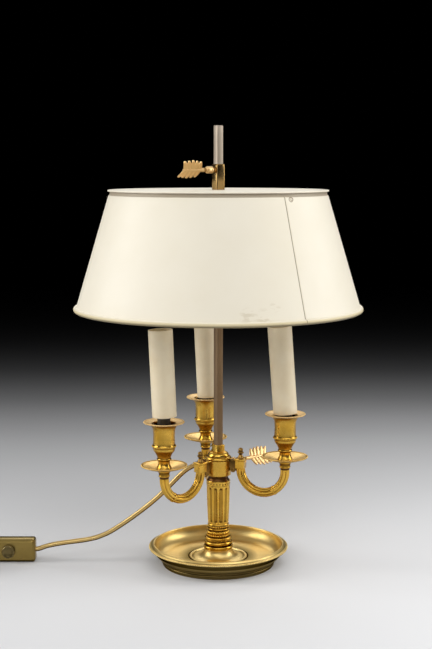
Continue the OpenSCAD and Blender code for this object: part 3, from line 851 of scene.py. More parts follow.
@dataclass(frozen=True)
class Brass:
    """Polished brass or bronze: a clouded warm tone, patina and painted shade in its hollows, painted shade
    on faces that turn down, and paler rims from wear and painted highlight.

    Clouds, freckles, wear and grain are counted per metre.
    """

    name: str = "polished_brass"
    warm: Colour = (0.69, 0.385, 0.048)
    pale: Colour = (0.80, 0.50, 0.09)
    dark: Colour = (0.15, 0.072, 0.010)
    smooth: float = 0.20
    dull: float = 0.38
    # Share of painted shade on faces that turn down.
    underside_shade: float = 0.35
    cloudy: float = 1.0
    # Tone and roughness of paler metal where the stored value is far below zero: wear and painted highlight.
    rubbed_and_lit: Colour = (0.88, 0.62, 0.29)
    rubbed_and_lit_rough: float = 0.46
    clouds: float = 38.0
    freckles: float = 420.0
    wear: float = 70.0
    grain: float = 650.0

    def material(self) -> Material:
        """Builds the brass.

        Returns:
            The material.
        """
        graph = Graph(self.name)
        half, mark = self.cloudy / 2, RUBBED_AND_LIT * HOLLOW_FULL
        cloud = graph.span(graph.noise(self.clouds, 4), 0.35, 0.68, 0.5 - half, 0.5 + half)
        tone = graph.blend(cloud, rgba(*self.warm), rgba(*self.pale))
        # Paler, rougher metal where the stored value is far below zero: wear and painted highlight.
        rubbed_and_lit = graph.span(graph.hollow(), 0.7 * mark, 0.4 * mark, 1.0, 0.0)
        tone = graph.blend(rubbed_and_lit, tone, rgba(*self.rubbed_and_lit))
        # Patina in hollows, and painted shade where the stored value was raised for it.
        deep = graph.span(graph.hollow(), 0.1 * HOLLOW_FULL, HOLLOW_FULL, 0.0, 0.95)
        # Painted shade on faces that turn down.
        under = graph.span(graph.upward(), -0.55, -0.10, self.underside_shade, 0.0)
        freckle = graph.span(graph.noise(self.freckles, 3), 0.64, 0.80, 0.0, 0.25)
        # Patina, painted shade and freckles darken the tone and the highlights.
        stain_and_shade = graph.math("MAXIMUM", deep, under, freckle)
        rough = graph.span(graph.noise(self.wear, 5), 0.3, 0.75, self.smooth, self.dull)
        graph.set(
            Base_Color=graph.blend(stain_and_shade, tone, rgba(*self.dark)),
            Metallic=1.0,
            Roughness=graph.math("MAXIMUM", rough, graph.math("MULTIPLY", rubbed_and_lit, self.rubbed_and_lit_rough)),
            Specular_Tint=graph.blend(stain_and_shade, rgba(1.0, 1.0, 1.0), rgba(*self.dark)),
        )
        graph.relief(graph.noise(self.grain, 3), 0.10, 0.0004)
        return graph.material


@dataclass(frozen=True)
class DrawnSteel:
    """Drawn steel bar with fine lines along its length; on the rod, brown tones are painted reflection of the
    brass round it, and a paler tone above a height is painted reflection of the bright space above the shade.

    Lines and patches are counted per metre, and the height is in metres.
    """

    name: str = "drawn_steel"
    light: Colour = (0.25, 0.165, 0.09)
    brown: Colour = (0.17, 0.11, 0.06)
    worn_and_lit: Colour = (0.42, 0.355, 0.28)
    worn_and_lit_above: float = 0.40
    lines: float = 1500.0
    patches: float = 24.0

    def material(self) -> Material:
        """Builds the steel.

        Returns:
            The material.
        """
        graph = Graph(self.name)
        lines = graph.noise(self.lines, 2, (1, 1, 0.012))
        patch = graph.span(graph.noise(self.patches, 4, (1, 1, 0.5)), 0.35, 0.7, 0.0, 0.8)
        # Brown tones in random patches: painted reflection of the brass round the rod.
        colour = graph.blend(patch, rgba(*self.light), rgba(*self.brown))
        # Paler tone above the height: painted reflection of the bright space above the shade.
        if self.worn_and_lit_above:
            worn_and_lit = graph.span(graph.along("Z"), self.worn_and_lit_above, self.worn_and_lit_above + 0.03, 0.0, 0.92)
            colour = graph.blend(worn_and_lit, colour, rgba(*self.worn_and_lit))
        graph.set(Base_Color=colour, Metallic=0.85, Roughness=graph.span(lines, 0.2, 0.8, 0.38, 0.58))
        graph.relief(lines, 0.12, 0.0002)
        return graph.material


@dataclass(frozen=True)
class ShadePaint:
    """Cream paint on sheet metal: a faint mottle, a yellowed hem with painted shade under it, a seam line,
    painted shade in the groove under the cap and a few scuffs.

    Its places are in metres: heights of the hem, of the seam line's top and of the joint under the cap, half
    widths at which a line is full and gone, the rivet's middle and its ring's radius, and each scuff's
    middle and reach. Its mottle, streaks, wear and peel are counted per metre.
    """

    name: str = "cream_paint"
    cream: Colour = (0.88, 0.815, 0.67)
    aged: Colour = (0.80, 0.72, 0.545)
    scuff: Colour = (0.62, 0.53, 0.36)
    line: Colour = (0.23, 0.16, 0.08)
    hem: Colour = (0.70, 0.59, 0.34)
    under: Colour = (0.15, 0.115, 0.05)
    hem_top: float = 0.2882
    hem_full: float = 0.2868
    seam_top: float = 0.4090
    seam_half: tuple[float, float] = (0.00028, 0.00055)
    seam_front: float = -0.05
    rivet: tuple[float, float, float] = (0.0724, -0.0940, 0.4054)
    ring_r: float = 0.0023
    ring_half: tuple[float, float] = (0.0003, 0.0007)
    cap_from: float = 0.40
    joint: tuple[float, float] = (0.4079, 0.4114)
    joint_shade: float = 0.68
    mottle: float = 14.0
    streaks: float = 330.0
    wear: float = 55.0
    peel: float = 900.0
    scuffs: tuple[tuple[float, float, float, float], ...] = (
        (0.044, -0.147, 0.291, 0.012),
        (0.028, -0.149, 0.294, 0.010),
        (0.056, -0.140, 0.303, 0.007),
    )

    def material(self) -> Material:
        """Builds the paint.

        Returns:
            The material.
        """
        graph = Graph(self.name)
        mottle = graph.span(graph.noise(self.mottle, 5), 0.35, 0.72, 0.0, 0.34)
        colour = graph.blend(mottle, rgba(*self.cream), rgba(*self.aged))
        streaks = graph.span(graph.noise(self.streaks, 4, (0.35, 0.35, 1.0)), 0.50, 0.60, 0.0, 0.5)
        for *spot, reach in self.scuffs:
            near = graph.span(graph.against("DISTANCE", spot), reach * 0.3, reach, 1.0, 0.0)
            colour = graph.blend(graph.math("MULTIPLY", near, streaks), colour, rgba(*self.scuff))
        on_hem = graph.span(graph.along("Z"), self.hem_top, self.hem_full, 0.0, 0.9)
        colour = graph.blend(on_hem, colour, rgba(*self.hem))
        # Painted shade on the hem's underside, where it turns down.
        below = graph.span(graph.upward(), -0.6, 0.1, 1.0, 0.0)
        colour = graph.blend(graph.math("MULTIPLY", on_hem, below), colour, rgba(*self.under))
        # Dark seam line and rivet ring, and painted shade in the groove under the cap.
        marks = graph.math("MAXIMUM", self.seam(graph), self.rivet_ring(graph), self.groove_shade(graph))
        graph.set(
            Base_Color=graph.blend(marks, colour, rgba(*self.line)),
            Roughness=graph.span(graph.noise(self.wear, 4), 0.3, 0.7, 0.46, 0.60),
            Coat_Weight=0.05,
            Coat_Roughness=0.4,
        )
        graph.relief(graph.noise(self.peel, 2), 0.08, 0.0002)
        return graph.material

    def seam(self, graph: Graph) -> Socket:
        """Dark line along the lapped seam, near the upright plane through it, on the front and under the cap.

        Args:
            graph: The paint's nodes.

        Returns:
            The line's share.
        """
        bearing = math.radians(SIZES.seam_bearing)
        off = graph.against("DOT_PRODUCT", (math.sin(bearing), -math.cos(bearing), 0.0))
        line = graph.span(graph.math("ABSOLUTE", off, 0.0), *self.seam_half, 0.85, 0.0)
        front = graph.math("LESS_THAN", graph.along("Y"), self.seam_front)
        return graph.math("MULTIPLY", line, front, graph.math("LESS_THAN", graph.along("Z"), self.seam_top))

    def rivet_ring(self, graph: Graph) -> Socket:
        """Dark ring in the paint round the rivet, by the distance from its middle."""
        off = graph.math("SUBTRACT", graph.against("DISTANCE", self.rivet), self.ring_r)
        return graph.span(graph.math("ABSOLUTE", off, 0.0), *self.ring_half, 0.8, 0.0)

    def groove_shade(self, graph: Graph) -> Socket:
        """Painted shade in the hollows near the cap and in its joint with the cone.

        Args:
            graph: The paint's nodes.

        Returns:
            The painted shade's share.
        """
        height = graph.along("Z")
        hollow = graph.span(graph.hollow(), 0.2 * HOLLOW_FULL, 1.5 * HOLLOW_FULL, 0.0, 0.75)
        near_cap = graph.math("GREATER_THAN", height, self.cap_from)
        low, high = (
            graph.math(kind, height, end) for kind, end in zip(("GREATER_THAN", "LESS_THAN"), self.joint)
        )
        joint = graph.math("MULTIPLY", low, high, self.joint_shade)
        return graph.math("MAXIMUM", graph.math("MULTIPLY", hollow, near_cap), joint)


@dataclass(frozen=True)
class Moulded:
    """Moulded plastic or card: two close tones, a fine grain, and metal in the gold-coloured kinds."""

    name: str
    tone: Colour
    shade: Colour
    rough: float = 0.45
    grain: float = 900.0
    relief: float = 0.06
    metal: float = 0.0
    translucent: float = 0.0
    clouds: float = 60.0
    wear: float = 140.0

    def material(self) -> Material:
        """Builds the plastic or card.

        Returns:
            The material.
        """
        graph = Graph(self.name)
        cloud = graph.span(graph.noise(self.clouds, 4), 0.35, 0.7, 0.0, 1.0)
        colour = graph.blend(cloud, rgba(*self.tone), rgba(*self.shade))
        rough = graph.span(graph.noise(self.wear, 3), 0.3, 0.7, self.rough * 0.85, self.rough * 1.2)
        graph.set(Base_Color=colour, Metallic=self.metal, Roughness=rough)
        if self.translucent:
            graph.set(
                Subsurface_Weight=self.translucent, Subsurface_Scale=0.004, Subsurface_Radius=(1.0, 0.8, 0.5)
            )
        graph.relief(graph.noise(self.grain, 3), self.relief, 0.0003)
        return graph.material


@dataclass(frozen=True)
class Felt:
    """Pressed wool felt: short fibres in two greens."""

    name: str = "green_felt"
    deep: Colour = (0.02, 0.07, 0.035)
    bright: Colour = (0.05, 0.13, 0.07)
    fibres: float = 1400.0

    def material(self) -> Material:
        """Builds the felt.

        Returns:
            The material.
        """
        graph = Graph(self.name)
        fibre = graph.noise(self.fibres, 5)
        colour = graph.blend(graph.span(fibre, 0.3, 0.7, 0, 1), rgba(*self.deep), rgba(*self.bright))
        graph.set(Base_Color=colour, Roughness=0.95, Sheen_Weight=0.4, Sheen_Roughness=0.5)
        graph.relief(fibre, 0.6, 0.0008)
        return graph.material


Finish = Brass | DrawnSteel | ShadePaint | Moulded | Felt


def made_of(finish: Finish) -> Material:
    """Field that is filled with the finish's material when a wardrobe is made."""
    return field(default_factory=finish.material)


@dataclass
class Wardrobe:
    """Every finish of the lamp, built once."""

    brass: Material = made_of(Brass())
    # Tone copies of the one brass: the darker cup copy on the cups and hub is painted shade, and the paler
    # pan and dish copies are painted light on their lit faces.
    cup: Material = made_of(Brass("cup_brass", (0.56, 0.315, 0.040), (0.68, 0.42, 0.08)))
    pan: Material = made_of(
        Brass("pan_brass", (0.76, 0.48, 0.13), (0.84, 0.57, 0.20), smooth=0.30, dull=0.44, underside_shade=0.4)
    )
    key: Material = made_of(
        Brass(
            "key_brass", (0.84, 0.55, 0.24), (0.92, 0.65, 0.32), (0.30, 0.15, 0.04),
            smooth=0.32, dull=0.44, underside_shade=0.4, cloudy=0.6,
        )
    )
    dish: Material = made_of(
        Brass(
            "dish_brass", (0.80, 0.57, 0.20), (0.88, 0.66, 0.27), (0.038, 0.022, 0.002),
            smooth=0.33, dull=0.47, underside_shade=0.6, cloudy=0.6,
        )
    )
    # Dark brass: the buds' own darker tone, and painted shade on the brackets tucked between the blocks and
    # the drum.
    antique_and_shaded: Material = made_of(
        Brass(
            "antique_and_shaded_brass", (0.22, 0.12, 0.03), (0.38, 0.23, 0.06), (0.035, 0.016, 0.004),
            smooth=0.26, dull=0.42,
        )
    )
    copper: Material = made_of(
        Brass(
            "worn_sleeve", (0.34, 0.21, 0.07), (0.44, 0.29, 0.12), (0.08, 0.04, 0.012),
            smooth=0.15, dull=0.26,
        )
    )
    patina: Material = made_of(
        Brass(
            "dark_brass", (0.085, 0.035, 0.012), (0.15, 0.07, 0.02), (0.015, 0.008, 0.004),
            smooth=0.32, dull=0.5,
        )
    )
    steel: Material = made_of(DrawnSteel())
    plain_steel: Material = made_of(
        DrawnSteel("plain_steel", (0.62, 0.62, 0.61), (0.45, 0.44, 0.42), worn_and_lit_above=0.0)
    )
    paint: Material = made_of(ShadePaint())
    ivory: Material = made_of(
        Moulded(
            "ivory_card", (0.86, 0.735, 0.52), (0.81, 0.67, 0.45), 0.5,
            grain=500.0, relief=0.04, translucent=0.12,
        )
    )
    dark_plastic: Material = made_of(
        Moulded("dark_plastic", (0.020, 0.016, 0.012), (0.035, 0.028, 0.02), 0.35)
    )
    flex: Material = made_of(
        Brass(
            "gold_flex", (0.66, 0.45, 0.16), (0.74, 0.53, 0.22), (0.07, 0.036, 0.006),
            smooth=0.26, dull=0.34, underside_shade=0.97, cloudy=0.4,
        )
    )
    case: Material = made_of(
        Brass(
            "gold_plastic", (0.28, 0.195, 0.055), (0.345, 0.245, 0.075), (0.045, 0.027, 0.006),
            smooth=0.26, dull=0.36, underside_shade=0.6, cloudy=0.5,
        )
    )
    button: Material = made_of(
        Moulded("button_plastic", (0.17, 0.125, 0.045), (0.12, 0.09, 0.03), 0.22, metal=0.7)
    )
    felt: Material = made_of(Felt())


class Body(Enum):
    """The frame's moving bodies."""

    STAND = "stand"
    CLUSTER = "light_cluster"
    CLUSTER_SCREW = "cluster_screw"
    SHADE = "shade"
    SHADE_SCREW = "shade_screw"
    BUTTON = "button"


def coat(piece: Piece, material: Material) -> None:
    """Gives a mesh one material in place of those that it has."""
    piece.data.materials.clear()
    piece.data.materials.append(material)


def dress(piece: Piece, body: Optional[Body], material: Material, slot: str, *nodes: str) -> Piece:
    """Gives a piece its finish, its body and the nodes it stands for, and logs it.

    Args:
        piece: The finished mesh.
        body: The body it moves with, or None where it bends between two.
        material: Its material.
        slot: Name of a material slot; not used.
        nodes: The solids that it stands for.

    Returns:
        The same piece.
    """
    coat(piece, material)
    if body is not None:
        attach(piece, body.value)
    if nodes:
        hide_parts(*nodes)
    LOG.info(
        "%s: %d faces, stands for %s", piece.name, len(piece.data.polygons), ", ".join(nodes) or "nothing"
    )
    return piece


# ---------------------------------------------------------------- base and column


@dataclass
class Base:
    """The cast dish with its beaded rim, and what is under it."""

    finish: Wardrobe
    dish_r: float = 77.3
    crest_r: float = 71.0
    rim_z: float = 23.0
    lip_z: float = 19.6
    boss_r: float = 15.4
    floor_z: float = 8.0
    foot_r: float = 62.0
    wall: float = 2.2

    @property
    def bowl_r(self) -> float:
        """Radius of the curve inside the dish."""
        return self.rim_z - self.floor_z - 2.0

    @property
    def bowl_middle(self) -> tuple[float, float]:
        """Radius and height of that curve's middle."""
        return (self.crest_r - 0.5 - self.bowl_r, self.floor_z + self.bowl_r)

    def dish_line(self) -> Array:
        """Closed outline of the dish's section: boss, ring groove, bowl, crest, rim, skirt, foot and hollow.

        Returns:
            The outline's points as radius and height.
        """
        bowl, centre, top = self.bowl_r, self.bowl_middle, SIZES.boss_z
        under = bowl + self.wall
        under_end = -math.degrees(math.acos((self.foot_r + 1.8 - centre[0]) / under))
        curve = top - self.floor_z + 0.4
        groove = [(26.2, 7.6), (27.3, 7.2), (28.5, 7.6), (29.1, 8.6), (30.2, 9.0), (31.2, 8.9), (32.4, 8.0)]
        return chain(
            (3.5, 14.8), (3.5, top), (self.boss_r, top),
            arc((self.boss_r + curve, top + 0.4), curve, 186, 262, 22),
            soft_line(groove, 4),
            (34.0, self.floor_z), (45.0, self.floor_z),
            arc(centre, bowl, -90, 0, 26),
            arc((self.crest_r + 0.7, self.rim_z - 1.2), 1.2, 180, 52, 10),
            (self.crest_r + 2.4, self.rim_z - 1.1), (self.crest_r + 3.2, self.rim_z - 2.05),
            arc((self.dish_r - 1.9, self.lip_z), 1.2, 62, -90, 8),
            arc(centre, under, -13, under_end, 12),
            (63.0, 5.4), (62.3, 4.8),
            arc((62.0, 3.4), 0.9, 70, -70, 8),
            (62.1, 2.0), (62.0, 0.5), (61.6, 0.0), (57.3, 0.0), (57.0, 0.3),
            (57.0, 5.8), (15.0, 5.8), (13.0, 14.8),
        )

    def skirt_shade(self, radius: Array, height: Array) -> Array:
        """Share of painted shade outside the dish: full under the lip, little down the skirt, much on the
        foot.

        The outside is what lies farther from the middle of the bowl's curve than the middle of its wall.

        Args:
            radius: Radius of each point in mm.
            height: Its height in mm.

        Returns:
            The share at each point.
        """
        across, up = self.bowl_middle
        away = np.hypot(radius - across, height - up)
        outside = (away > self.bowl_r + 0.9) & (radius > 60.5) & (height < self.lip_z - 1.2)
        return np.interp(height, [4.6, 5.3, 12.0, 14.5], [0.85, 0.5, 0.6, 1.6]) * outside

    def build(self) -> None:
        """Makes the dish, its rim beads, the weight, felt and nut."""
        dish = revolve("dish_casting", self.dish_line(), 240, sharp=40)
        beads = bead_string("rim_beads", self.dish_r - 1.02, self.lip_z - 0.1, 1.0, 236)
        whole = fuse("brass_dish", (dish, beads), 40)
        soil_and_shade(whole, self.skirt_shade)
        dress(whole, Body.STAND, self.finish.dish, "brass_bright", "base_dish")
        weight_line = chain((16.0, 1.9), (56.4, 1.9), (56.7, 2.2), (56.7, 5.4), (56.4, 5.8), (16.0, 5.8))
        weight = revolve("steel_weight", weight_line, 120)
        dress(weight, Body.STAND, self.finish.plain_steel, "plain_steel", "base_weight")
        felt_line = chain((0, 0.8), (56.0, 0.8), arc((56.2, 1.3), 0.5, -70, 70, 6), (56.0, 1.8), (0, 1.8))
        felt = revolve("felt_pad", felt_line, 120, ring=False)
        dress(felt, Body.STAND, self.finish.felt, "felt", "base_felt")
        levels = [(10.3, 0.9), (10.8, 1.0), (14.4, 1.0), (14.8, 0.97)]
        nut = rise("tie_nut", 6.8 * circle(6), levels)
        dress(nut, Body.STAND, self.finish.plain_steel, "plain_steel", "rod_nut")


@dataclass
class Column:
    """Turned foot, fluted shaft and dark neck."""

    finish: Wardrobe
    flutes: int = 12
    half_flute: float = 1.95
    depth: float = 1.6
    low_r: float = 11.3
    top_r: float = 12.8
    dots: int = 24

    def fluting(self, radius: Array, height: Array, angle: Array) -> Array:
        """Depth of flutes and dots.

        A flute is a round-ended channel: minus its depth times the root of one minus the squared distance
        from its middle. A dot in the band is a dimple: minus a bell curve of the distance from its middle.

        Args:
            radius: Radius of the turned shape.
            height: Height of each row.
            angle: Bearing of each column.

        Returns:
            The mm to add to the radius.
        """
        s = SIZES
        pitch = 2 * np.pi / self.flutes
        side = (((angle / pitch) % 1.0) - 0.5) * pitch * radius / self.half_flute
        low, high = s.shaft_z + 3.7, s.band_z - 3.7
        over = (np.maximum(low - height, 0) + np.maximum(height - high, 0)) / 2.0
        inside = np.maximum(1 - side**2 - over**2, 0)
        flute = -self.depth * np.sqrt(inside) * ((height > s.shaft_z + 1.2) & (height < s.band_z - 1.2))
        step = 2 * np.pi / self.dots
        off = (((angle / step) % 1.0) - 0.5) * step * radius
        dimple = -0.5 * np.exp(-(off**2 + (height - s.band_z - 2.6) ** 2) / 0.55)
        return (flute + dimple) * (radius > 8)

    def foot_line(self) -> Array:
        """Closed section of the turned foot: rings of several sizes between plain steps.

        Returns:
            The section's points as radius and height.
        """
        z = SIZES.boss_z
        return chain(
            (4.0, z), (15.4, z), (15.6, z + 0.8),
            arc((14.9, z + 2.6), 1.4, -52, 70, 10),
            (13.9, z + 4.0), (13.8, z + 5.0),
            arc((13.5, z + 7.1), 2.0, -78, 78, 16),
            (13.4, z + 9.3), (13.1, z + 9.6), (13.1, z + 11.3),
            arc((13.8, z + 12.7), 1.1, -78, 78, 10),
            (13.0, z + 14.0), (12.0, z + 14.3), (12.0, z + 17.0), (11.4, z + 17.2),
            (11.4, z + 20.7), (10.7, z + 21.1), (10.7, z + 22.0),
            arc((11.5, z + 23.0), 0.8, -80, 80, 8),
            (11.0, z + 24.0), (11.1, z + 27.0), (11.8, z + 27.3),
            (11.85, z + 28.2), (11.6, z + 28.5), (4.0, z + 28.5),
        )

    def build(self) -> None:
        """Makes the three turned pieces of the column and the rod."""
        s = SIZES
        z = s.boss_z
        parts = [
            revolve("foot_turning", self.foot_line(), 144),
            bead_string("foot_beads", 12.95, z + 10.4, 0.85, 46),
            bead_string("dark_beads", 11.9, z + 15.7, 1.15, 30),
            rope_ring("rope_band", 11.1, z + 19.0, 1.9, 24),
            bead_string("leaf_beads", 11.1, z + 25.6, 1.0, 30),
        ]
        dress(
            fuse("column_moulding", parts, 50), Body.STAND, self.finish.brass, "brass_bright", "column_foot"
        )
        heights = np.linspace(s.shaft_z, s.band_z, 60)
        radii = np.interp(heights, [s.shaft_z, s.shaft_z + 25.5, s.band_z], [self.low_r, 12.4, self.top_r])
        band = np.linspace(s.band_z + 1.0, s.neck_z - 0.6, 14)
        shaft = revolve(
            "fluted_shaft",
            chain(
                (4.0, s.shaft_z),
                np.column_stack((radii, heights)),
                (12.75, s.band_z + 0.25), (13.1, s.band_z + 0.6),
                np.column_stack((0 * band + 13.15, band)),
                (12.95, s.neck_z), (4.0, s.neck_z),
            ),
            288,
            swell=self.fluting,
        )

        def sunk(radius: Array, height: Array) -> Array:
            """Patina in the flutes, by how far they lie below the turned shape."""
            down = (np.interp(height, heights, radii) - radius) / self.depth
            return np.clip(down, 0, 0.62) * (height < s.band_z - 1)

        soil_and_shade(shaft, sunk)
        dress(shaft, Body.STAND, self.finish.brass, "brass_bright", "column_shaft")
        neck_line = chain(
            (5.4, s.neck_z), (12.0, s.neck_z), (11.4, s.neck_z + 1.2), (10.8, s.neck_z + 2.95),
            (11.4, s.hub_z - 1.2), (12.0, s.hub_z), (5.4, s.hub_z),
        )
        neck = revolve("dark_neck", neck_line)
        dress(neck, Body.STAND, self.finish.patina, "brass_dark", "column_neck")
        top = s.lamp_h
        levels = [(z, 1.0) for z in (s.neck_z, *np.linspace(130, 470, 18), top - 0.7)]
        levels += [(top - 0.2, 0.94), (top, 0.84)]
        bar = rise("rod_bar", rounded_box(s.rod_w, s.rod_w, 0.45, 4), levels, turn("z", s.rod_turn))
        tie_top = s.neck_z + 0.5
        tie_line = chain((0, 8.9), (2.7, 8.9), (3.3, 9.5), (3.3, tie_top), (0, tie_top))
        tie = revolve("rod_tie", tie_line, 32, ring=False)
        dress(fuse("square_rod", (bar, tie), 30), Body.STAND, self.finish.steel, "rod_steel", "rod")


# ---------------------------------------------------------------- light cluster


@dataclass
class Hub:
    """Drum, cover with its square socket, gland and the wire joints inside."""

    finish: Wardrobe

    def build(self) -> None:
        """Makes the hub's pieces."""
        s = SIZES
        r, low, top = s.hub_r, s.hub_z, s.hub_top
        drum = revolve(
            "drum_shell",
            chain(
                (5.6, low), arc((r - 0.5, low + 0.5), 0.5, -90, 0, 4), (r, top - 0.4), (r - 0.3, top),
                (11.7, top), (11.7, low + 2.4), (5.6, low + 2.4),
            ),
            120,
        )
        guide_line = chain((5.55, low + 2.0), (6.9, low + 2.0), (6.9, top), (5.55, top))
        guide = revolve("drum_guide", guide_line, 48)
        boss_line = chain((3.2, 11.0), (3.9, 11.0), (3.9, 14.5), (3.2, 14.5))
        boss = revolve("key_boss", boss_line, 32, place=outward(s.rod_turn, s.hub_key_z))
        casting = fuse("hub_casting", (drum, guide, boss))
        dress(casting, Body.CLUSTER, self.finish.cup, "brass_bright", "hub_drum")
        dome = top + 3.8
        cover = revolve(
            "cover_dome",
            chain(
                (5.45, top), (r - 0.7, top),
                arc((r - 1.4, top + 1.9), 1.9, -80, 80, 12),
                (r - 1.75, dome), (r - 1.8, dome + 0.6),
                arc((7.4, dome + 0.4), 4.6, 0, 78, 12),
                (7.5, dome + 5.4), (5.45, dome + 5.4),
            ),
            120,
        )
        outline = rounded_box(11.0, 11.0, 1.1, 5)
        levels = [
            (dome + 4.6, 1.03), (dome + 5.4, 0.97), (dome + 11.9, 0.97), (dome + 12.4, 0.95),
            (dome + 12.7, 0.90),
        ]
        socket = rise("cover_socket", outline, levels, turn("z", s.rod_turn))
        cap = fuse("hub_cap", (cover, socket))
        dress(cap, Body.CLUSTER, self.finish.brass, "brass_bright", "hub_cover")
        gland = revolve(
            "flex_gland",
            chain(
                (0, -2.6), (3.2, -2.6), (3.2, 2.0), (4.3, 2.1), (4.3, 3.0), (4.0, 3.4), (3.5, 5.4),
                (3.3, 6.5), (0, 6.5),
            ),
            40, ring=False, place=flex_exit(),
        )
        dress(gland, Body.CLUSTER, self.finish.patina, "holder_plastic", "cord_gland")
        for node in ("wire_joints", "lamp_wires"):
            coat(bpy.data.objects[node], self.finish.dark_plastic)


def flex_exit() -> Array:
    """Matrix to the gland on the hub drum's face, with +Z along the flex as it leaves."""
    s = SIZES
    return outward(s.flex_bearing, s.hub_top - s.flex_down) @ shift(z=s.hub_r) @ turn("y", s.flex_droop)


@dataclass
class CandleArm:
    """One curved arm with its block, bud and bracket, pan, cup, lampholder and candle."""

    finish: Wardrobe
    arm: ArmPose
    pan_r: float = 25.0
    holder_low: float = 55.0
    holder_top: float = 89.0

    def end(self) -> Array:
        """Matrix to the arm's outer end, on the cup's axis."""
        return turn("z", self.arm.bearing) @ shift(x=SIZES.arm_reach, z=self.arm.lift)

    def root(self) -> Array:
        """Matrix to the arm's inner end, on the block's axis."""
        return turn("z", self.arm.bearing) @ shift(x=SIZES.root_r, z=-self.arm.drop)

    def leaning(self) -> Array:
        """Matrix to the candle's foot, leaned towards the lamp's left.

        Returns:
            The four by four matrix.
        """
        s, arm = SIZES, self.arm
        x, y = (s.arm_reach * f(math.radians(arm.bearing)) for f in (math.cos, math.sin))
        return shift(x + arm.shift, y, s.flange_z + arm.lift + arm.gap) @ turn("y", -arm.lean)

    def name(self, stem: str) -> str:
        """Piece name that ends with the arm's own name."""
        return f"{stem}_{self.arm.label}"

    def dress(self, piece: Piece, material: Material, slot: str, *stems: str) -> None:
        """Dresses a piece of this arm, which stands for the nodes with these stems."""
        dress(piece, Body.CLUSTER, material, slot, *[self.name(stem) for stem in stems])

    def bend_line(self, start: float, end: float, count: int) -> Array:
        """Points along the half circle.

        Args:
            start: Angle of the first point in degrees, counted from the outer end.
            end: Angle of the last.
            count: How many points.

        Returns:
            The points, in the place of the arm's root.
        """
        r, angle = SIZES.bend_r, np.radians(np.linspace(start, end, count))
        return np.column_stack((r + r * np.cos(angle), 0 * angle, SIZES.arm_z - r * np.sin(angle)))

    def bend(self) -> Piece:
        """The reeded half-circle tube: six narrow channels, each a bell curve of the turn from its middle.

        Returns:
            The tube with its straight end and its band.
        """
        s, sides, place = SIZES, 96, self.root()
        off = ((bearings(sides) * 3 / np.pi) % 1.0 - 0.5) * np.pi / 3
        reed = 5.0 - 1.05 * np.exp(-((off / 0.17) ** 2))
        leg = [(2 * s.bend_r, 0.0, s.arm_z + up) for up in np.linspace(self.arm.rise, 0, 3, endpoint=False)]
        line, section = chain(leg, self.bend_line(0, 180, 72)), reed[:, None] * circle(sides)
        tube = sweep(self.name("tube"), line, section, side=(0, 1, 0), place=place, sharp=60)
        grow = 4.7 + 0.68 * np.sin(np.linspace(0, np.pi, 9)) ** 0.5
        rings = grow[:, None, None] * circle(sides)
        band = sweep(self.name("ring"), self.bend_line(57, 62, 9), rings, side=(0, 1, 0), place=place)
        return fuse(self.name("reeded_arm"), (tube, band), 60)

    def build(self) -> None:
        """Makes every piece of the arm."""
        s, f = SIZES, self.finish
        self.dress(self.bend(), f.brass, "brass_bright", "arm")
        self.build_root()
        low, top = s.arm_z, s.cup_floor + 7
        nipple_line = chain((2.4, low), (4.6, low), (5.0, low + 0.4), (5.0, top), (2.4, top))
        nipple = revolve(self.name("nipple_tube"), nipple_line, 40, place=self.end())
        self.dress(nipple, f.patina, "brass_dark", "nipple")
        u = s.under_z
        under = revolve(
            self.name("pan_seat"),
            chain(
                (5.0, u), (5.7, u), arc((5.5, u + 0.75), 0.6, -60, 60, 6), (5.75, u + 1.5),
                arc((9.6, u + 2.6), 4.0, 190, 120, 6), (7.9, u + 7.6), (5.0, u + 7.6),
            ),
            72, place=self.end(),
        )
        self.dress(under, f.brass, "brass_bright", "under_collar")
        self.build_pan_and_cup()
        self.build_candle()

    def build_root(self) -> None:
        """Makes the block with its plate, the bud on it and the scrolled bracket."""
        s, f = SIZES, self.finish
        z, place = s.arm_z, self.root()
        square = rounded_box(10.0, 10.0, 0.5, 4)
        levels = [
            (z, 0.96), (z + 0.4, 1.0), (z + 8.5, 1.0), (z + 8.8, 0.95), (z + 9.1, 0.95), (z + 9.2, 1.13),
            (z + 9.5, 1.16), (z + 10.5, 1.16), (z + 10.8, 1.12), (z + 11.0, 1.0),
        ]
        self.dress(rise(self.name("block"), square, levels, place), f.brass, "brass_bright", "collar")
        b = z + 11.0
        petals = self.petals(b)
        bud = revolve(self.name("bud_turning"), self.bud_line(b), 64, ring=False, swell=petals, place=place)
        lower = bead_string(self.name("bud_beads"), 3.2, b + 0.6, 0.55, 16, place)
        self.dress(fuse(self.name("bud_finial"), (bud, lower), 50), f.antique_and_shaded, "brass_bright", "bud")
        near, far, mid = s.hub_r - 0.4, s.root_r - 5.05, s.hub_r + 3.5
        outline = chain(
            (s.hub_r + 0.75, z + 9.0), (far, z + 9.0), (far, z + 0.4),
            arc((mid, z - 2.0), 3.1, 25, -200, 24),
            (near, z + 0.6), (near, z + 7.4), (s.hub_r + 0.75, z + 7.8),
        )
        middle = outline.mean(0)
        levels = [(-2.5, 0.90), (-2.1, 1.0), (2.1, 1.0), (2.5, 0.90)]
        upright = shift(z=-self.arm.drop) @ turn("z", self.arm.bearing) @ turn("x", 90)
        web = rise(self.name("web"), outline - middle, levels, upright @ shift(middle[0], middle[1]))
        eye_line = chain((0, -2.9), (1.1, -2.9), (1.6, -2.5), (1.7, 2.5), (1.1, 2.9), (0, 2.9))
        eye_place = upright @ shift(mid + 0.2, z - 2.0)
        eye = revolve(self.name("scroll_eye"), eye_line, 28, ring=False, place=eye_place)
        self.dress(fuse(self.name("scroll_bracket"), (web, eye)), f.antique_and_shaded, "brass_bright", "arm_bracket")

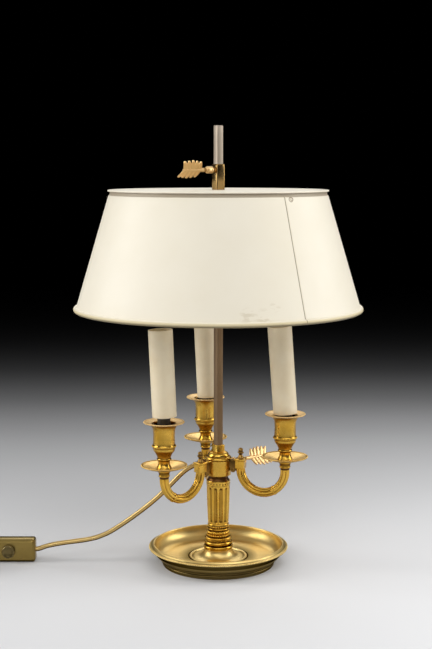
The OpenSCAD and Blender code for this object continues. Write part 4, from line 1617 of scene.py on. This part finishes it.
    def bud_line(self, b: float) -> Array:
        """Half section of the bud: flared foot, waist, petals, neck and round knob.

        Args:
            b: Height of its foot.

        Returns:
            The section's points as radius and height.
        """
        lower = [(3.7, b), (3.5, b + 0.7), (2.8, b + 2.0), (2.2, b + 3.4), (1.9, b + 4.8), (3.0, b + 6.0)]
        upper = [(3.3, b + 6.6), (3.1, b + 7.2), (2.2, b + 7.9), (2.3, b + 8.3)]
        return chain(
            (0, b),
            soft_line(lower, 4),
            soft_line(upper, 4),
            arc((0.0, b + 9.35), 2.62, -14, 88, 12),
            (0, b + 12.0),
        )

    def petals(self, b: float) -> Swell:
        """Swell of six petals round the bud: a cosine of the bearing that fades away from the petals' height.

        Args:
            b: Height of the bud's foot.

        Returns:
            The swell.
        """

        def swell(radius: Array, height: Array, angle: Array) -> Array:
            """The mm to add at a radius, a height and a bearing."""
            return 0.42 * np.cos(6 * angle) * np.exp(-(((height - b - 6.2) / 1.1) ** 2)) * (radius > 1)

        return swell

    def build_pan_and_cup(self) -> None:
        """Makes the drip pan and the candle cup with their beaded rims."""
        s, f, end = SIZES, self.finish, self.end()
        pan = revolve(self.name("pan_turning"), self.pan_line(), 120, place=end)
        beads = bead_string(self.name("pan_beads"), self.pan_r - 0.95, s.pan_z + 4.75, 0.92, 96, end)
        self.dress(fuse(self.name("beaded_pan"), (pan, beads), 40), f.pan, "brass_bright", "drip_pan")
        cup = revolve(self.name("cup_turning"), self.cup_line(), 120, place=end)
        z, h, top = s.cup_z, s.cup_h, s.cup_z + s.cup_h
        rim = bead_string(self.name("cup_rim_beads"), s.flange_r - 0.95, top - 0.85, 0.9, 76, end)
        belt = bead_string(self.name("cup_belt_beads"), 12.2, z + h * 0.478, 1.0, 50, end)
        whole = fuse(self.name("candle_cup"), (cup, rim, belt), 40)
        shadow = 1.6 if self.arm.clear else 0.3

        def bore(radius: Array, height: Array) -> Array:
            """Painted shade inside the bore."""
            return np.clip(12.6 - radius, 0, 1.6) * (height > z + h * 0.45) * (radius < 11.2)

        def mouth(radius: Array, height: Array) -> Array:
            """Shadow round the candle's foot, deep where the candle stands clear of the cup."""
            return np.clip((12.9 - radius) / 0.8, 0, shadow) * (height > top - 3.4)

        def worn_and_lit(radius: Array, height: Array) -> Array:
            """Paler metal on the flange's upper side: wear and painted highlight."""
            return RUBBED_AND_LIT * ((radius > 13.6) & (height > top - 2.2))

        for share in (bore, mouth, worn_and_lit):
            soil_and_shade(whole, share, end)
        self.dress(whole, f.cup, "brass_bright", "cup")

    def pan_line(self) -> Array:
        """Closed section of the drip pan: a shallow saucer of one thickness, turned up at the rim.

        Returns:
            The section's points as radius and height.
        """
        p = SIZES.pan_z
        under = [(5.0, p), (9.0, p), (14.0, p + 0.7), (19.0, p + 2.1), (22.6, p + 3.4), (24.0, p + 4.2)]
        over = [
            (23.6, p + 5.3), (22.6, p + 4.7), (21.0, p + 4.35),
            (10.0, p + 1.75), (8.6, p + 1.4), (5.0, p + 1.4),
        ]
        return chain(soft_line(under, 5), (self.pan_r - 0.9, p + 4.8), soft_line(over, 5))

    def cup_line(self) -> Array:
        """Closed section of the candle cup: foot, waist, knop, bowl, belt, body, spreading flange and bore.

        Returns:
            The section's points as radius and height.
        """
        z, r, floor = SIZES.cup_z, SIZES.flange_r, SIZES.cup_floor
        top = z + SIZES.cup_h
        waist = [(7.9, z + 1.4), (6.9, z + 3.0), (6.2, z + 5.2), (6.15, z + 7.4), (6.4, z + 8.6)]
        bowl = [
            (7.2, z + 11.9), (7.5, z + 13.2), (8.9, z + 16.2),
            (10.9, z + 18.8), (11.6, z + 20.6), (11.8, z + 22.4),
        ]
        body = [
            (11.8, z + 26.2), (11.6, z + 29.5), (11.5, z + 35.7), (11.7, z + 40.0),
            (12.4, z + 43.6), (14.2, z + 46.6), (17.0, z + 48.4), (r - 1.4, z + 49.3),
        ]
        upper = [(r - 2.0, top - 0.5), (16.0, top - 1.5), (12.0, top - 2.0), (10.5, top - 2.9)]
        return chain(
            (5.0, z), (8.0, z), (8.2, z + 0.5), (7.9, z + 1.2),
            soft_line(waist, 4),
            arc((6.6, z + 10.2), 1.2, -70, 70, 8),
            soft_line(bowl, 4),
            (12.4, z + 23.0), (12.7, z + 23.6), (12.7, z + 25.0), (12.2, z + 25.7),
            soft_line(body, 6),
            (r - 0.9, top - 0.9), (r - 1.4, top - 0.2),
            soft_line(upper, 4),
            (10.4, z + SIZES.cup_h * 0.5), (7.9, floor), (5.0, floor),
        )

    def build_candle(self) -> None:
        """Makes the ivory tube and the lampholder inside it."""
        s, f = SIZES, self.finish
        top, cf, foot = s.candle_l, s.cup_floor, 0.0 if self.arm.clear else -2.1
        tube = revolve(
            self.name("card_tube"),
            chain(
                arc((12.85, foot + 0.15), 0.15, 270, 360, 3),
                np.column_stack((np.full(12, s.candle_r), np.linspace(2, top - 2, 12))),
                arc((12.8, top - 0.2), 0.2, 0, 90, 3), arc((12.2, top - 0.2), 0.2, 90, 180, 3),
                (12.0, foot + 0.2), (12.15, foot),
            ),
            96, place=self.leaning(),
        )
        self.dress(tube, f.ivory, "candle_ivory", "candle")
        leg_top = s.flange_z + self.arm.gap + self.holder_low + 3.0
        leg_line = chain(
            (5.0, cf + 0.5), (7.0, cf + 0.5), (7.0, leg_top), (2.4, leg_top), (2.4, cf + 7), (5.0, cf + 7)
        )
        leg = revolve(self.name("holder_leg"), leg_line, 48, place=self.end())
        low, head = self.holder_low, self.holder_top
        head_line = chain(
            (2.4, low), (9.9, low), (11.95, low + 2.0), (11.95, head - 0.6),
            (11.4, head), (7.6, head), (7.0, head - 0.5),
            self.thread(head),
            (7.0, head - 24), (2.4, head - 24),
        )
        cap = revolve(self.name("holder_head"), head_line, 64, place=self.leaning())
        holder = fuse(self.name("lamp_holder"), (leg, cap))
        self.dress(holder, f.dark_plastic, "holder_plastic", "lampholder")

    def thread(self, head: float) -> Array:
        """Rounded thread in the socket: the radius follows a cosine along the depth."""
        z = np.linspace(head - 3, head - 21, 46)
        return np.column_stack((6.85 + 0.25 * np.cos((z - head) * 2 * np.pi / 2.8), z))


# ---------------------------------------------------------------- keys


@dataclass
class ArrowKey:
    """Thumb screw shaped like an arrow: shank, turned boss, neck and feathers."""

    finish: Wardrobe
    body: Body
    node: str
    bearing: float
    height: float
    face: float
    gap: float
    reach: float
    barbs: int = 5
    pitch: float = 4.5
    tall: float = 10.8
    tilt: float = 35.0

    def barb(self, index: int, side: int) -> Piece:
        """One barb: a flat blade that leaves the quill and bends back towards its tail.

        The path is a parabola from the quill to the tip, and the blade's width falls with the root of the
        distance left to the tip.

        Args:
            index: Which barb, counted from the head.
            side: 1 for the upper row and -1 for the lower.

        Returns:
            The blade in the key's own place.
        """
        t = np.linspace(0, 1, 14)
        along, away = self.barb_path(index, side, t).T
        path = np.column_stack((0 * t, away, along))
        width = 2.3 * np.sqrt(np.clip(1.02 - t, 0.0, 1.0)) ** 0.8 + 0.3
        thick = 0.95 - 0.25 * t
        section = np.column_stack((thick, width))[:, None] * circle(14)
        name = f"{self.node}_barb_{index}_{side}"
        return sweep(name, path, section, side=(1, 0, 0), place=self.place(), sharp=60)

    def barb_path(self, index: int, side: int, t: Array) -> Array:
        """Points along a barb.

        Args:
            index: Which barb, counted from the head.
            side: 1 for the upper row and -1 for the lower.
            t: How far along the barb each point is, from 0 to 1.

        Returns:
            Each point's distance along the key and away from its quill.
        """
        middle = (self.barbs - 1) / 2
        span = self.tall * (1.0 - 0.13 * abs(index - middle) / middle) * (1.0 if side > 0 else 0.86)
        start = self.face + self.reach + (index + 0.5) * self.pitch
        sweep_back = 3.0 + 2.5 * index / (self.barbs - 1) + (0.0 if side > 0 else 1.0)
        away = side * (0.6 + span * np.sin(t * np.pi / 2) ** 0.95)
        return np.column_stack((start + sweep_back * t**0.9, away))

    def web(self, side: int) -> Piece:
        """Thin vane between the barbs, out to two thirds of their length.

        Args:
            side: 1 for the upper row and -1 for the lower.

        Returns:
            The vane in the key's own place.
        """
        t = np.linspace(0, 0.62, 9)
        outline = chain(self.barb_path(0, side, t), self.barb_path(self.barbs - 1, side, t)[::-1])
        middle = outline.mean(0)
        levels = [(-0.5, 0.96), (-0.35, 1.0), (0.35, 1.0), (0.5, 0.96)]
        flat = self.place() @ turn("y", -90) @ shift(middle[0], middle[1])
        return rise(f"{self.node}_web_{side}", outline - middle, levels, flat)

    def place(self) -> Array:
        """Matrix that lays the key along its bearing and tilts its feathers from upright."""
        return outward(self.bearing, self.height) @ turn("z", 90 - self.tilt)

    def build(self) -> None:
        """Makes the key as one casting."""
        a, b = self.face + self.gap, self.face + self.reach
        end = b + self.barbs * self.pitch
        stem = revolve(
            f"{self.node}_stem",
            chain(
                (0, 3.75), (2.1, 3.75), (2.4, 4.1), (2.4, a), (3.4, a), (3.75, a + 0.4),
                (3.75, a + 2.2), (3.5, a + 2.6), (3.5, a + 3.1), (3.75, a + 3.5), (3.75, a + 6.5),
                (3.4, a + 7.0), (2.5, a + 7.1), (2.9, a + 7.5), (2.9, a + 8.2), (2.3, a + 8.6),
                (2.1, a + 9.6), (2.2, b - 0.5), (2.0, b + 1.0), (1.7, b + 4),
                (1.35, end - 1), (0.8, end + 0.8), (0, end + 1.0),
            ),
            40, ring=False, place=self.place(),
        )
        blades = [self.barb(i, side) for i in range(self.barbs) for side in (1, -1)]
        blades += [self.web(side) for side in (1, -1)]
        dress(
            fuse(f"{self.node}_arrow", [stem] + blades, 60), self.body, self.finish.key, "brass_bright",
            self.node,
        )


# ---------------------------------------------------------------- shade


@dataclass
class Shade:
    """Painted cone, cap with a rolled rim, seam and rivet, and the brass sleeve that carries them."""

    finish: Wardrobe
    sheet: float = 0.8
    hem_r: float = 2.8
    below_cap: float = 3.3
    seam_turn: float = 6.0
    lap: float = 0.5
    rivet_down: float = 2.5

    @property
    def low(self) -> float:
        """Height of the middle of the cone's rolled hem."""
        return SIZES.shade_z + self.hem_r

    @property
    def top(self) -> float:
        """Height of the cone's upper end."""
        return SIZES.cap_z - self.below_cap

    @property
    def slope(self) -> float:
        """Radius that the cone gains for each mm down."""
        return (SIZES.shade_low_r - SIZES.shade_top_r) / (self.top - self.low)

    def build(self) -> None:
        """Makes the shade's pieces."""
        s, f = SIZES, self.finish
        low, top, top_r = self.low, self.top, s.shade_top_r
        heights = np.linspace(low + 2.6, top - 0.5, 40)
        radii = top_r + (top - heights) * self.slope
        cone = revolve(
            "cone_sheet",
            chain(
                arc((s.shade_low_r - 0.2, low), self.hem_r, -105, 62, 16),
                np.column_stack((radii, heights)),
                (top_r - 0.1, top - 0.1), (top_r - 1.1, top + 0.8), (top_r - 1.5, s.cap_z + 0.1),
                (top_r - 2.3, s.cap_z + 0.1), (top_r - 2.0, top + 0.6), (top_r - 0.9, top - 0.8),
                np.column_stack((radii - self.sheet, heights))[::-1],
                arc((s.shade_low_r - 0.2, low), self.hem_r, 118, 250, 10),
            ),
            288, sharp=45,
        )
        dress(cone, Body.SHADE, f.paint, "shade_paint", "shade_cone")
        bead_c, plate = top_r - 1.0, s.cap_z + 1.9
        cap = revolve(
            "cap_sheet",
            chain(
                (5.5, plate - 0.4), (40, plate - 0.4), (80, plate - 0.4), (bead_c - 3, plate - 0.4),
                arc((bead_c, plate), 1.0, 200, 520, 28)[3:-2] + (0.9, -0.4),
                (bead_c - 3, plate + 0.4), (80, plate + 0.4), (40, plate + 0.4), (5.5, plate + 0.4),
            ),
            288, sharp=45,
        )
        # Painted shade under the cap's rolled rim.
        soil_and_shade(cap, lambda r, z: 1.3 * (r > bead_c - 1.5) * (z < plate - 0.9))
        dress(cap, Body.SHADE, f.paint, "shade_paint", "shade_cap")
        self.build_seam()
        self.build_sleeve(plate)

    def build_seam(self) -> None:
        """Makes the lapped edge of the sheet and the rivet that shows beside it."""
        s, f, top, slope = SIZES, self.finish, self.top, self.slope
        share = np.linspace(0, 1, 16)
        bearing = np.radians(s.seam_bearing + self.seam_turn * share)
        height = np.linspace(self.low + 2.9, top - 0.3, 30)
        base = s.shade_top_r + (top - height) * slope
        lift = self.lap * np.clip(share * 30, 0, 1) * (1 - 0.9 * share)
        ring_r = base[:, None] + np.concatenate((lift, np.full(len(share), -0.25)))[None]
        ring_a = np.concatenate((bearing, bearing[::-1]))[None]
        points = polar(ring_r, ring_a, height[:, None])
        dress(surface("lapped_edge", points, poles=True), Body.SHADE, f.paint, "shade_paint", "shade_seam")
        lean, down = math.degrees(math.atan(slope)), self.rivet_down - 0.4
        spot = shift(s.shade_top_r + down * slope + 0.15, 0, top - down)
        place = turn("z", s.seam_bearing + 0.7 * self.seam_turn) @ spot @ turn("y", 90 - lean)
        head = chain((0, -0.1), (2.0, -0.1), (2.0, 0.4), (1.8, 0.8), (1.3, 1.15), (0.7, 1.3), (0, 1.33))
        rivet = revolve("cone_rivet", head, 28, ring=False, place=place)
        dress(rivet, Body.SHADE, f.paint, "shade_paint", "seam_rivet")

    def build_sleeve(self, plate: float) -> None:
        """Makes the square sleeve with its flange and the rivets that hold the cap.

        Args:
            plate: Height of the cap's plate.
        """
        s, f = SIZES, self.finish
        square = rounded_box(s.sleeve_w, s.sleeve_w, 0.8, 5)
        hole = rounded_box(7.6, 7.6, 0.3, 5)
        low, top = s.sleeve_low, s.sleeve_top
        levels = [(low, 0.97), (low + 0.3, 1.0), (top - 1.6, 1.0), (top - 0.5, 0.95), (top, 0.86)]
        height, scale = np.array(levels).T
        grid = np.concatenate((square * scale[:, None, None], np.stack((hole, hole))))
        points = lifted(grid, [*height, top, low])
        sleeve = surface("sleeve_tube", placed(points, turn("z", s.rod_turn)), ring=True, sharp=30)
        base = plate - 0.4
        under = base - 2.0
        flange_line = chain((5.5, under), (16.6, under), (17.0, base - 1.6), (17.0, base), (5.5, base))
        flange = revolve("sleeve_flange", flange_line, 72)
        carrier = fuse("shade_carrier", (sleeve, flange), 30)
        dress(carrier, Body.SHADE, f.copper, "brass_bright", "shade_sleeve")
        head = chain(
            (0, base - 2.8), (1.9, base - 2.7), (2.6, under),
            (1.5, under), (1.5, base + 0.8), (0, base + 0.8),
        )
        spots = [turn("z", s.rod_turn + 45 + 90 * i) @ shift(x=11.9) for i in range(4)]
        heads = [revolve(f"rivet_{i}", head, 24, ring=False, place=spot) for i, spot in enumerate(spots)]
        dress(fuse("carrier_rivets", heads), Body.SHADE, f.brass, "brass_bright", "flange_rivets")


# ---------------------------------------------------------------- flex


@dataclass
class Flex:
    """The flex from hub to switch, the wound rest with its plug, and the switch between them."""

    finish: Wardrobe
    diameter: float = 5.5
    gland_l: float = 6.5
    bend_from: int = 2
    bend_to: int = 70
    switch_x: float = -233.5
    switch_y: float = 7.0
    switch_l: float = 58.0
    switch_w: float = 17.0
    switch_h: float = 26.0
    coil: tuple[float, float] = (-304.0, -24.5)
    plug: tuple[float, float] = (-333.0, -97.5)

    def lead_line(self) -> Array:
        """Route from the gland to the switch.

        Returns:
            The route's points.
        """
        gland = flex_exit()
        heading = gland[:3, 2]
        start = gland[:3, 3] + (self.gland_l + 0.02) * heading
        near, z = self.switch_x + self.switch_l / 2, self.switch_h / 2
        y = self.switch_y
        route = chain(
            start, start + 4 * heading,
            (-27.6, 6.7, 108.4), (-31.6, 6.9, 106.4), (-36, 7, 103.5), (-41, 7, 99.2), (-47, 7, 93.2),
            (-53.5, 7, 86.4), (-60, 7, 79.8), (-67, 7, 73.1), (-76, 7, 65.2), (-87, 7, 56.4),
            (-99, 7, 47.5), (-111, 7, 39.2), (-123, 7, 31.9), (-134, 7, 27.2), (-145, 7, 24.3),
            (-158, 7, 22.3), (-171, 7, 20.5), (-183, 7, 18.6), (-193, 7, 16.2),
            (near + 4, y, z + 0.6), (near, y, z), (near - 3, y, z),
        )
        return even_line(soft_line(route, 8), 2.2)

    def coil_line(self) -> Array:
        """Turns of the coil: two beside each other in each of four layers, with a smooth step between turns.

        Returns:
            The coil's points.
        """
        d = self.diameter
        radii = np.array((32.0, 26.5, 26.5, 32.0, 32.0, 26.5, 26.5, 32.0))
        layers = np.array((0, 0, 1, 1, 2, 2, 3, 3)) * d + d / 2
        start, step, width, lag, total = 78.0, 360.0, 85.0, 25.0, 2622.0
        angle = np.arange(0, total + 1, 3.0)
        edges = np.arange(1, 8) * (step - lag)
        share = np.clip((angle[:, None] - edges[None] + width) / width, 0, 1)
        share = share**2 * (3 - 2 * share)
        radius = radii[0] + (share * np.diff(radii)[None]).sum(1)
        height = layers[0] + (share * np.diff(layers)[None]).sum(1)
        return polar(radius, np.radians(start + angle), height) + (*self.coil, 0.0)

    def rest_line(self) -> Array:
        """Route from the switch through the coil to the plug.

        Returns:
            The route's points.
        """
        far, y, z = self.switch_x - self.switch_l / 2, self.switch_y, self.switch_h / 2
        feed = [
            (far + 3, y, z), (far - 3, y, z - 0.2), (-272, 7, 11.4),
            (-279, 7, 8.2), (-286, 7, 5.1), (-292, 7, 3.4),
        ]
        tail = [
            (-335.8, -41.5, 19.2), (-335.2, -53.5, 18.4), (-334, -65.5, 15.6),
            (-333, -77.5, 11.2), (-333, -87.5, 7.8), (*self.plug, 6.8),
        ]
        return even_line(soft_line(chain(feed, self.coil_line()[2::3], tail), 6), 2.2)

    def tube(self, name: str, line: Array) -> Piece:
        """Round flex with a faint twist.

        Its radius follows the cosine of twice the turn round it plus the length along it.

        Args:
            name: The piece's name.
            line: Its middle line.

        Returns:
            The new object.
        """
        sides, twist = 16, 22.0
        turned = 2 * bearings(sides)[None] + run_along(line)[:, None] * 2 * np.pi / twist
        radius = self.diameter / 2 * (0.985 + 0.015 * np.cos(turned))
        return sweep(name, line, radius[..., None] * circle(sides), sharp=80)

    def build(self) -> None:
        case = self.build_switch()
        plug = self.build_plug()
        lead = self.lead_line()
        first = self.tube("flex_lead", lead)
        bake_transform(first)
        dress(first, None, self.finish.flex, "flex_gold", "cord_lead")
        rest = self.rest_line()
        second = self.tube("flex_rest", rest)
        dress(second, Body.STAND, self.finish.flex, "flex_gold", "cord_feed", "cord_coil", "cord_tail")
        LOG.info("flex: %.0f mm to the switch and %.0f mm from it", line_length(lead), line_length(rest))

    def case_rings(self, depth: float) -> Array:
        """Rings of a half case: rounded rectangles that shrink by the same mm all round along its bevel.

        Args:
            depth: Depth of the half.

        Returns:
            The rings of points.
        """
        steps = [
            (0.12, 0.35), (0.35, 0.0), (depth - 3.0, 0.0),
            (depth - 2.7, 0.12), (depth - 0.35, 2.5), (depth, 2.95),
        ]
        levels, insets = np.array(steps).T
        length, height = self.switch_l, self.switch_h
        rings = [rounded_box(length - 2 * i, height - 2 * i, 3.2 - i * 0.7, 6) for i in insets]
        return lifted(np.array(rings), levels)

    def build_switch(self) -> list[Piece]:
        """Makes the two halves of the in-line switch and its button.

        Returns:
            The three pieces.
        """
        f, w = self.finish, self.switch_w / 2
        centre = shift(self.switch_x, self.switch_y, self.switch_h / 2)
        made = []
        for side, node in ((-1, "switch_front"), (1, "switch_back")):
            lie = centre @ turn("x", 90 if side < 0 else -90)
            half = surface(f"{node}_case", placed(self.case_rings(w), lie), poles=True, sharp=30)
            made.append(dress(half, Body.STAND, f.case, "flex_gold", node))
        button_line = chain(
            (0, 3.5), (7.3, 3.5), (7.3, w + 3.4), (7.0, w + 4.1), (6.4, w + 4.5),
            (5.6, w + 4.4), (4.4, w + 3.7), (2.4, w + 3.3), (0, w + 3.2),
        )
        button = revolve("push_button", button_line, 56, ring=False, place=centre @ turn("x", 90))
        made.append(dress(button, Body.BUTTON, f.button, "button_plastic", "switch_button"))
        return made

    def build_plug(self) -> list[Piece]:
        """Makes the flat plug with its tapered strain relief and two pins.

        The plug's sections are rounded boxes: a half width times a power of the cosine of the turn round it,
        and a half height times the same power of its sine.

        Returns:
            The two pieces.
        """
        f = self.finish
        lie = shift(self.plug[0], self.plug[1], 6.8) @ turn("x", 90)
        z = np.array((0.0, 3.0, 9.0, 16.0, 21.0, 23.5, 27.0, 31.0, 38.0, 43.0, 44.0))
        half_w = np.array((3.9, 4.1, 4.6, 5.3, 6.1, 9.2, 14.0, 17.0, 17.5, 17.4, 16.8))
        half_h = np.array((3.9, 4.1, 4.7, 5.5, 6.1, 6.4, 6.7, 6.8, 6.8, 6.7, 6.3))
        power = 0.55
        shape = np.sign(circle(48)) * np.abs(circle(48)) ** power
        points = lifted(shape * np.column_stack((half_w, half_h))[:, None], z)
        body = surface("plug_moulding", placed(points, lie), poles=True, sharp=50)
        dress(body, Body.STAND, f.flex, "flex_gold", "plug_body")
        pin = chain((0, 40.0), (2.0, 40.0), (2.0, 61.6), (1.7, 62.4), (1.0, 62.9), (0, 63.0))
        sides = {side: lie @ shift(x=side * 9.3) for side in (-1, 1)}
        pins = [revolve(f"pin_{side}", pin, 24, ring=False, place=spot) for side, spot in sides.items()]
        both = dress(fuse("plug_pin_pair", pins), Body.STAND, f.plain_steel, "plain_steel", "plug_pins")
        return [body, both]


# ---------------------------------------------------------------- studio


@dataclass(frozen=True)
class SoftBox:
    """A soft rectangular light that faces a point on the lamp's axis.

    Places and sizes are in metres, the power in watts.
    """

    name: str
    place: tuple[float, float, float]
    aim_z: float
    size: tuple[float, float]
    power: float

    def hang(self) -> None:
        """Adds the light to the scene, turned towards its point."""
        data = bpy.data.lights.new(self.name, "AREA")
        data.shape, data.energy = "RECTANGLE", self.power
        data.size, data.size_y = self.size
        light = add_object(self.name, data)
        light.location = self.place
        x, y, z = self.place
        light.rotation_euler = (math.atan2(math.hypot(x, y), z - self.aim_z), 0.0, math.atan2(x, -y))


@dataclass
class Studio:
    """Camera, floor, backdrop and soft lights.

    The floor's tone, given at distances behind the lamp, is painted light that falls off into the distance,
    and its left is darker by a share, a painted shadow. The world has one strength for matt surfaces, and for
    mirroring ones a sky that brightens with height.
    """

    eye: tuple[float, float, float] = (-0.0025, -1.374, 0.440)
    pitch: float = 7.16
    lens: float = 36.0 * 1270.0 / 649.0
    floor_near: float = -0.6
    floor_span: float = 4.0
    floor_tones: tuple[tuple[float, float], ...] = (
        (-0.60, 0.825), (-0.24, 0.825), (-0.06, 0.815), (0.05, 0.79), (0.17, 0.70),
        (0.32, 0.60), (0.50, 0.50), (0.71, 0.355), (0.99, 0.134),
        (1.34, 0.023), (1.81, 0.0045), (2.48, 0.001), (3.2, 0.0),
    )
    floor_left: tuple[float, float, float, float] = (-0.32, 0.28, 0.82, 1.0)
    ambient: float = 0.34
    sky: tuple[float, float, float, float] = (0.10, 0.95, 0.02, 0.55)
    boxes: tuple[SoftBox, ...] = (
        SoftBox("left_box", (-1.50, -0.05, 0.75), 0.2, (0.6, 1.1), 12.5),
        SoftBox("right_box", (1.50, 0.15, 0.75), 0.2, (0.6, 1.1), 10.5),
        SoftBox("top_box", (0.55, -0.75, 1.60), 0.1, (1.2, 0.9), 8.0),
        SoftBox("front_box", (-0.30, -1.9, 1.45), 0.15, (2.2, 1.0), 13.5),
        SoftBox("back_box", (0.0, 1.70, 1.25), 0.05, (1.6, 0.5), 6.5),
    )

    def place_camera(self) -> None:
        """Sets the camera at eye height in front of the lamp, looking along +Y and a little down."""
        data = bpy.data.cameras.new("camera")
        data.lens, data.sensor_width, data.sensor_fit = self.lens, 36.0, "AUTO"
        camera = add_object("camera", data)
        camera.location = self.eye
        camera.rotation_euler = (math.radians(90 - self.pitch), 0, 0)
        bpy.context.scene.camera = camera

    def lay_floor(self) -> None:
        """Lays a pale floor with painted light that falls off into the distance and a painted shadow on its
        left, and the dark space behind it.
        """
        mesh = bpy.data.meshes.new("floor")
        corners = [(-9.0, -6.0, 0.0), (9.0, -6.0, 0.0), (9.0, 9.0, 0.0), (-9.0, 9.0, 0.0)]
        mesh.from_pydata(corners, [], [(0, 1, 2, 3)])
        add_object("floor", mesh)
        graph = Graph("pale_floor")
        far = self.floor_near + self.floor_span
        # Painted light on the floor, falling off with distance behind the lamp.
        behind = graph.span(graph.along("Y"), self.floor_near, far, 0.0, 1.0)
        ramp = graph.put("ShaderNodeValToRGB", Fac=behind)
        ramp.color_ramp.interpolation = "B_SPLINE"
        stops = ramp.color_ramp.elements
        stops.remove(stops[1])
        for index, (depth, tone) in enumerate(self.floor_tones):
            at = (depth - self.floor_near) / self.floor_span
            stop = stops[0] if index == 0 else stops.new(at)
            stop.position, stop.color = at, rgba(tone, tone, tone * 1.01)
        # Painted shadow: the floor's left side is darker.
        side = graph.span(graph.along("X"), *self.floor_left)
        tone = graph.blend(side, rgba(0.0, 0.0, 0.0), ramp.outputs["Color"])
        graph.set(Base_Color=tone, Roughness=0.6, Specular_IOR_Level=0.0)
        mesh.materials.append(graph.material)

    def light(self) -> None:
        """Sets the world and hangs the lights."""
        world = bpy.data.worlds.new("studio")
        bpy.context.scene.world = world
        world.use_nodes = True
        tree = world.node_tree
        ambient = tree.nodes["Background"]
        ambient.inputs["Color"].default_value = rgba(0.97, 0.98, 1.0)
        ambient.inputs["Strength"].default_value = self.ambient
        split = tree.nodes.new("ShaderNodeSeparateXYZ")
        tree.links.new(tree.nodes.new("ShaderNodeTexCoord").outputs["Generated"], split.inputs["Vector"])
        climb = tree.nodes.new("ShaderNodeMapRange")
        climb.interpolation_type = "SMOOTHSTEP"
        tree.links.new(split.outputs["Z"], climb.inputs["Value"])
        for key, number in zip(("From Min", "From Max", "To Min", "To Max"), self.sky):
            climb.inputs[key].default_value = number
        mirrored = tree.nodes.new("ShaderNodeBackground")
        tree.links.new(climb.outputs["Result"], mirrored.inputs["Strength"])
        dark = tree.nodes.new("ShaderNodeBackground")
        dark.inputs["Color"].default_value = rgba(0.0, 0.0, 0.0)
        paths = tree.nodes.new("ShaderNodeLightPath")
        shader = ambient.outputs[0]
        for ray, other in (("Is Glossy Ray", mirrored), ("Is Camera Ray", dark)):
            mix = tree.nodes.new("ShaderNodeMixShader")
            for source, target in zip((paths.outputs[ray], shader, other.outputs[0]), mix.inputs):
                tree.links.new(source, target)
            shader = mix.outputs[0]
        tree.links.new(shader, tree.nodes["World Output"].inputs["Surface"])
        for box in self.boxes:
            box.hang()
        bpy.context.scene.view_settings.view_transform = "Standard"


def main() -> None:
    """Dresses the frame in order: camera, flex, stand, light cluster, keys, shade, studio."""
    logging.basicConfig(level=logging.INFO, format="%(name)s: %(message)s")
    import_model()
    studio = Studio()
    studio.place_camera()
    finish = Wardrobe()
    s = SIZES
    Flex(finish).build()
    Base(finish).build()
    Column(finish).build()
    Hub(finish).build()
    for arm in Arm:
        CandleArm(finish, arm.value).build()
    keys = (
        ArrowKey(
            finish, Body.CLUSTER_SCREW, "cluster_key",
            bearing=s.rod_turn, height=s.hub_key_z, face=s.hub_r, gap=1.0, reach=30.0,
        ),
        ArrowKey(
            finish, Body.SHADE_SCREW, "shade_key",
            bearing=s.rod_turn + 180, height=s.sleeve_key_z, face=s.sleeve_w / 2, gap=3.0, reach=17.0,
        ),
    )
    for key in keys:
        key.build()
    Shade(finish).build()
    studio.lay_floor()
    studio.light()


if __name__ == "__main__":
    main()
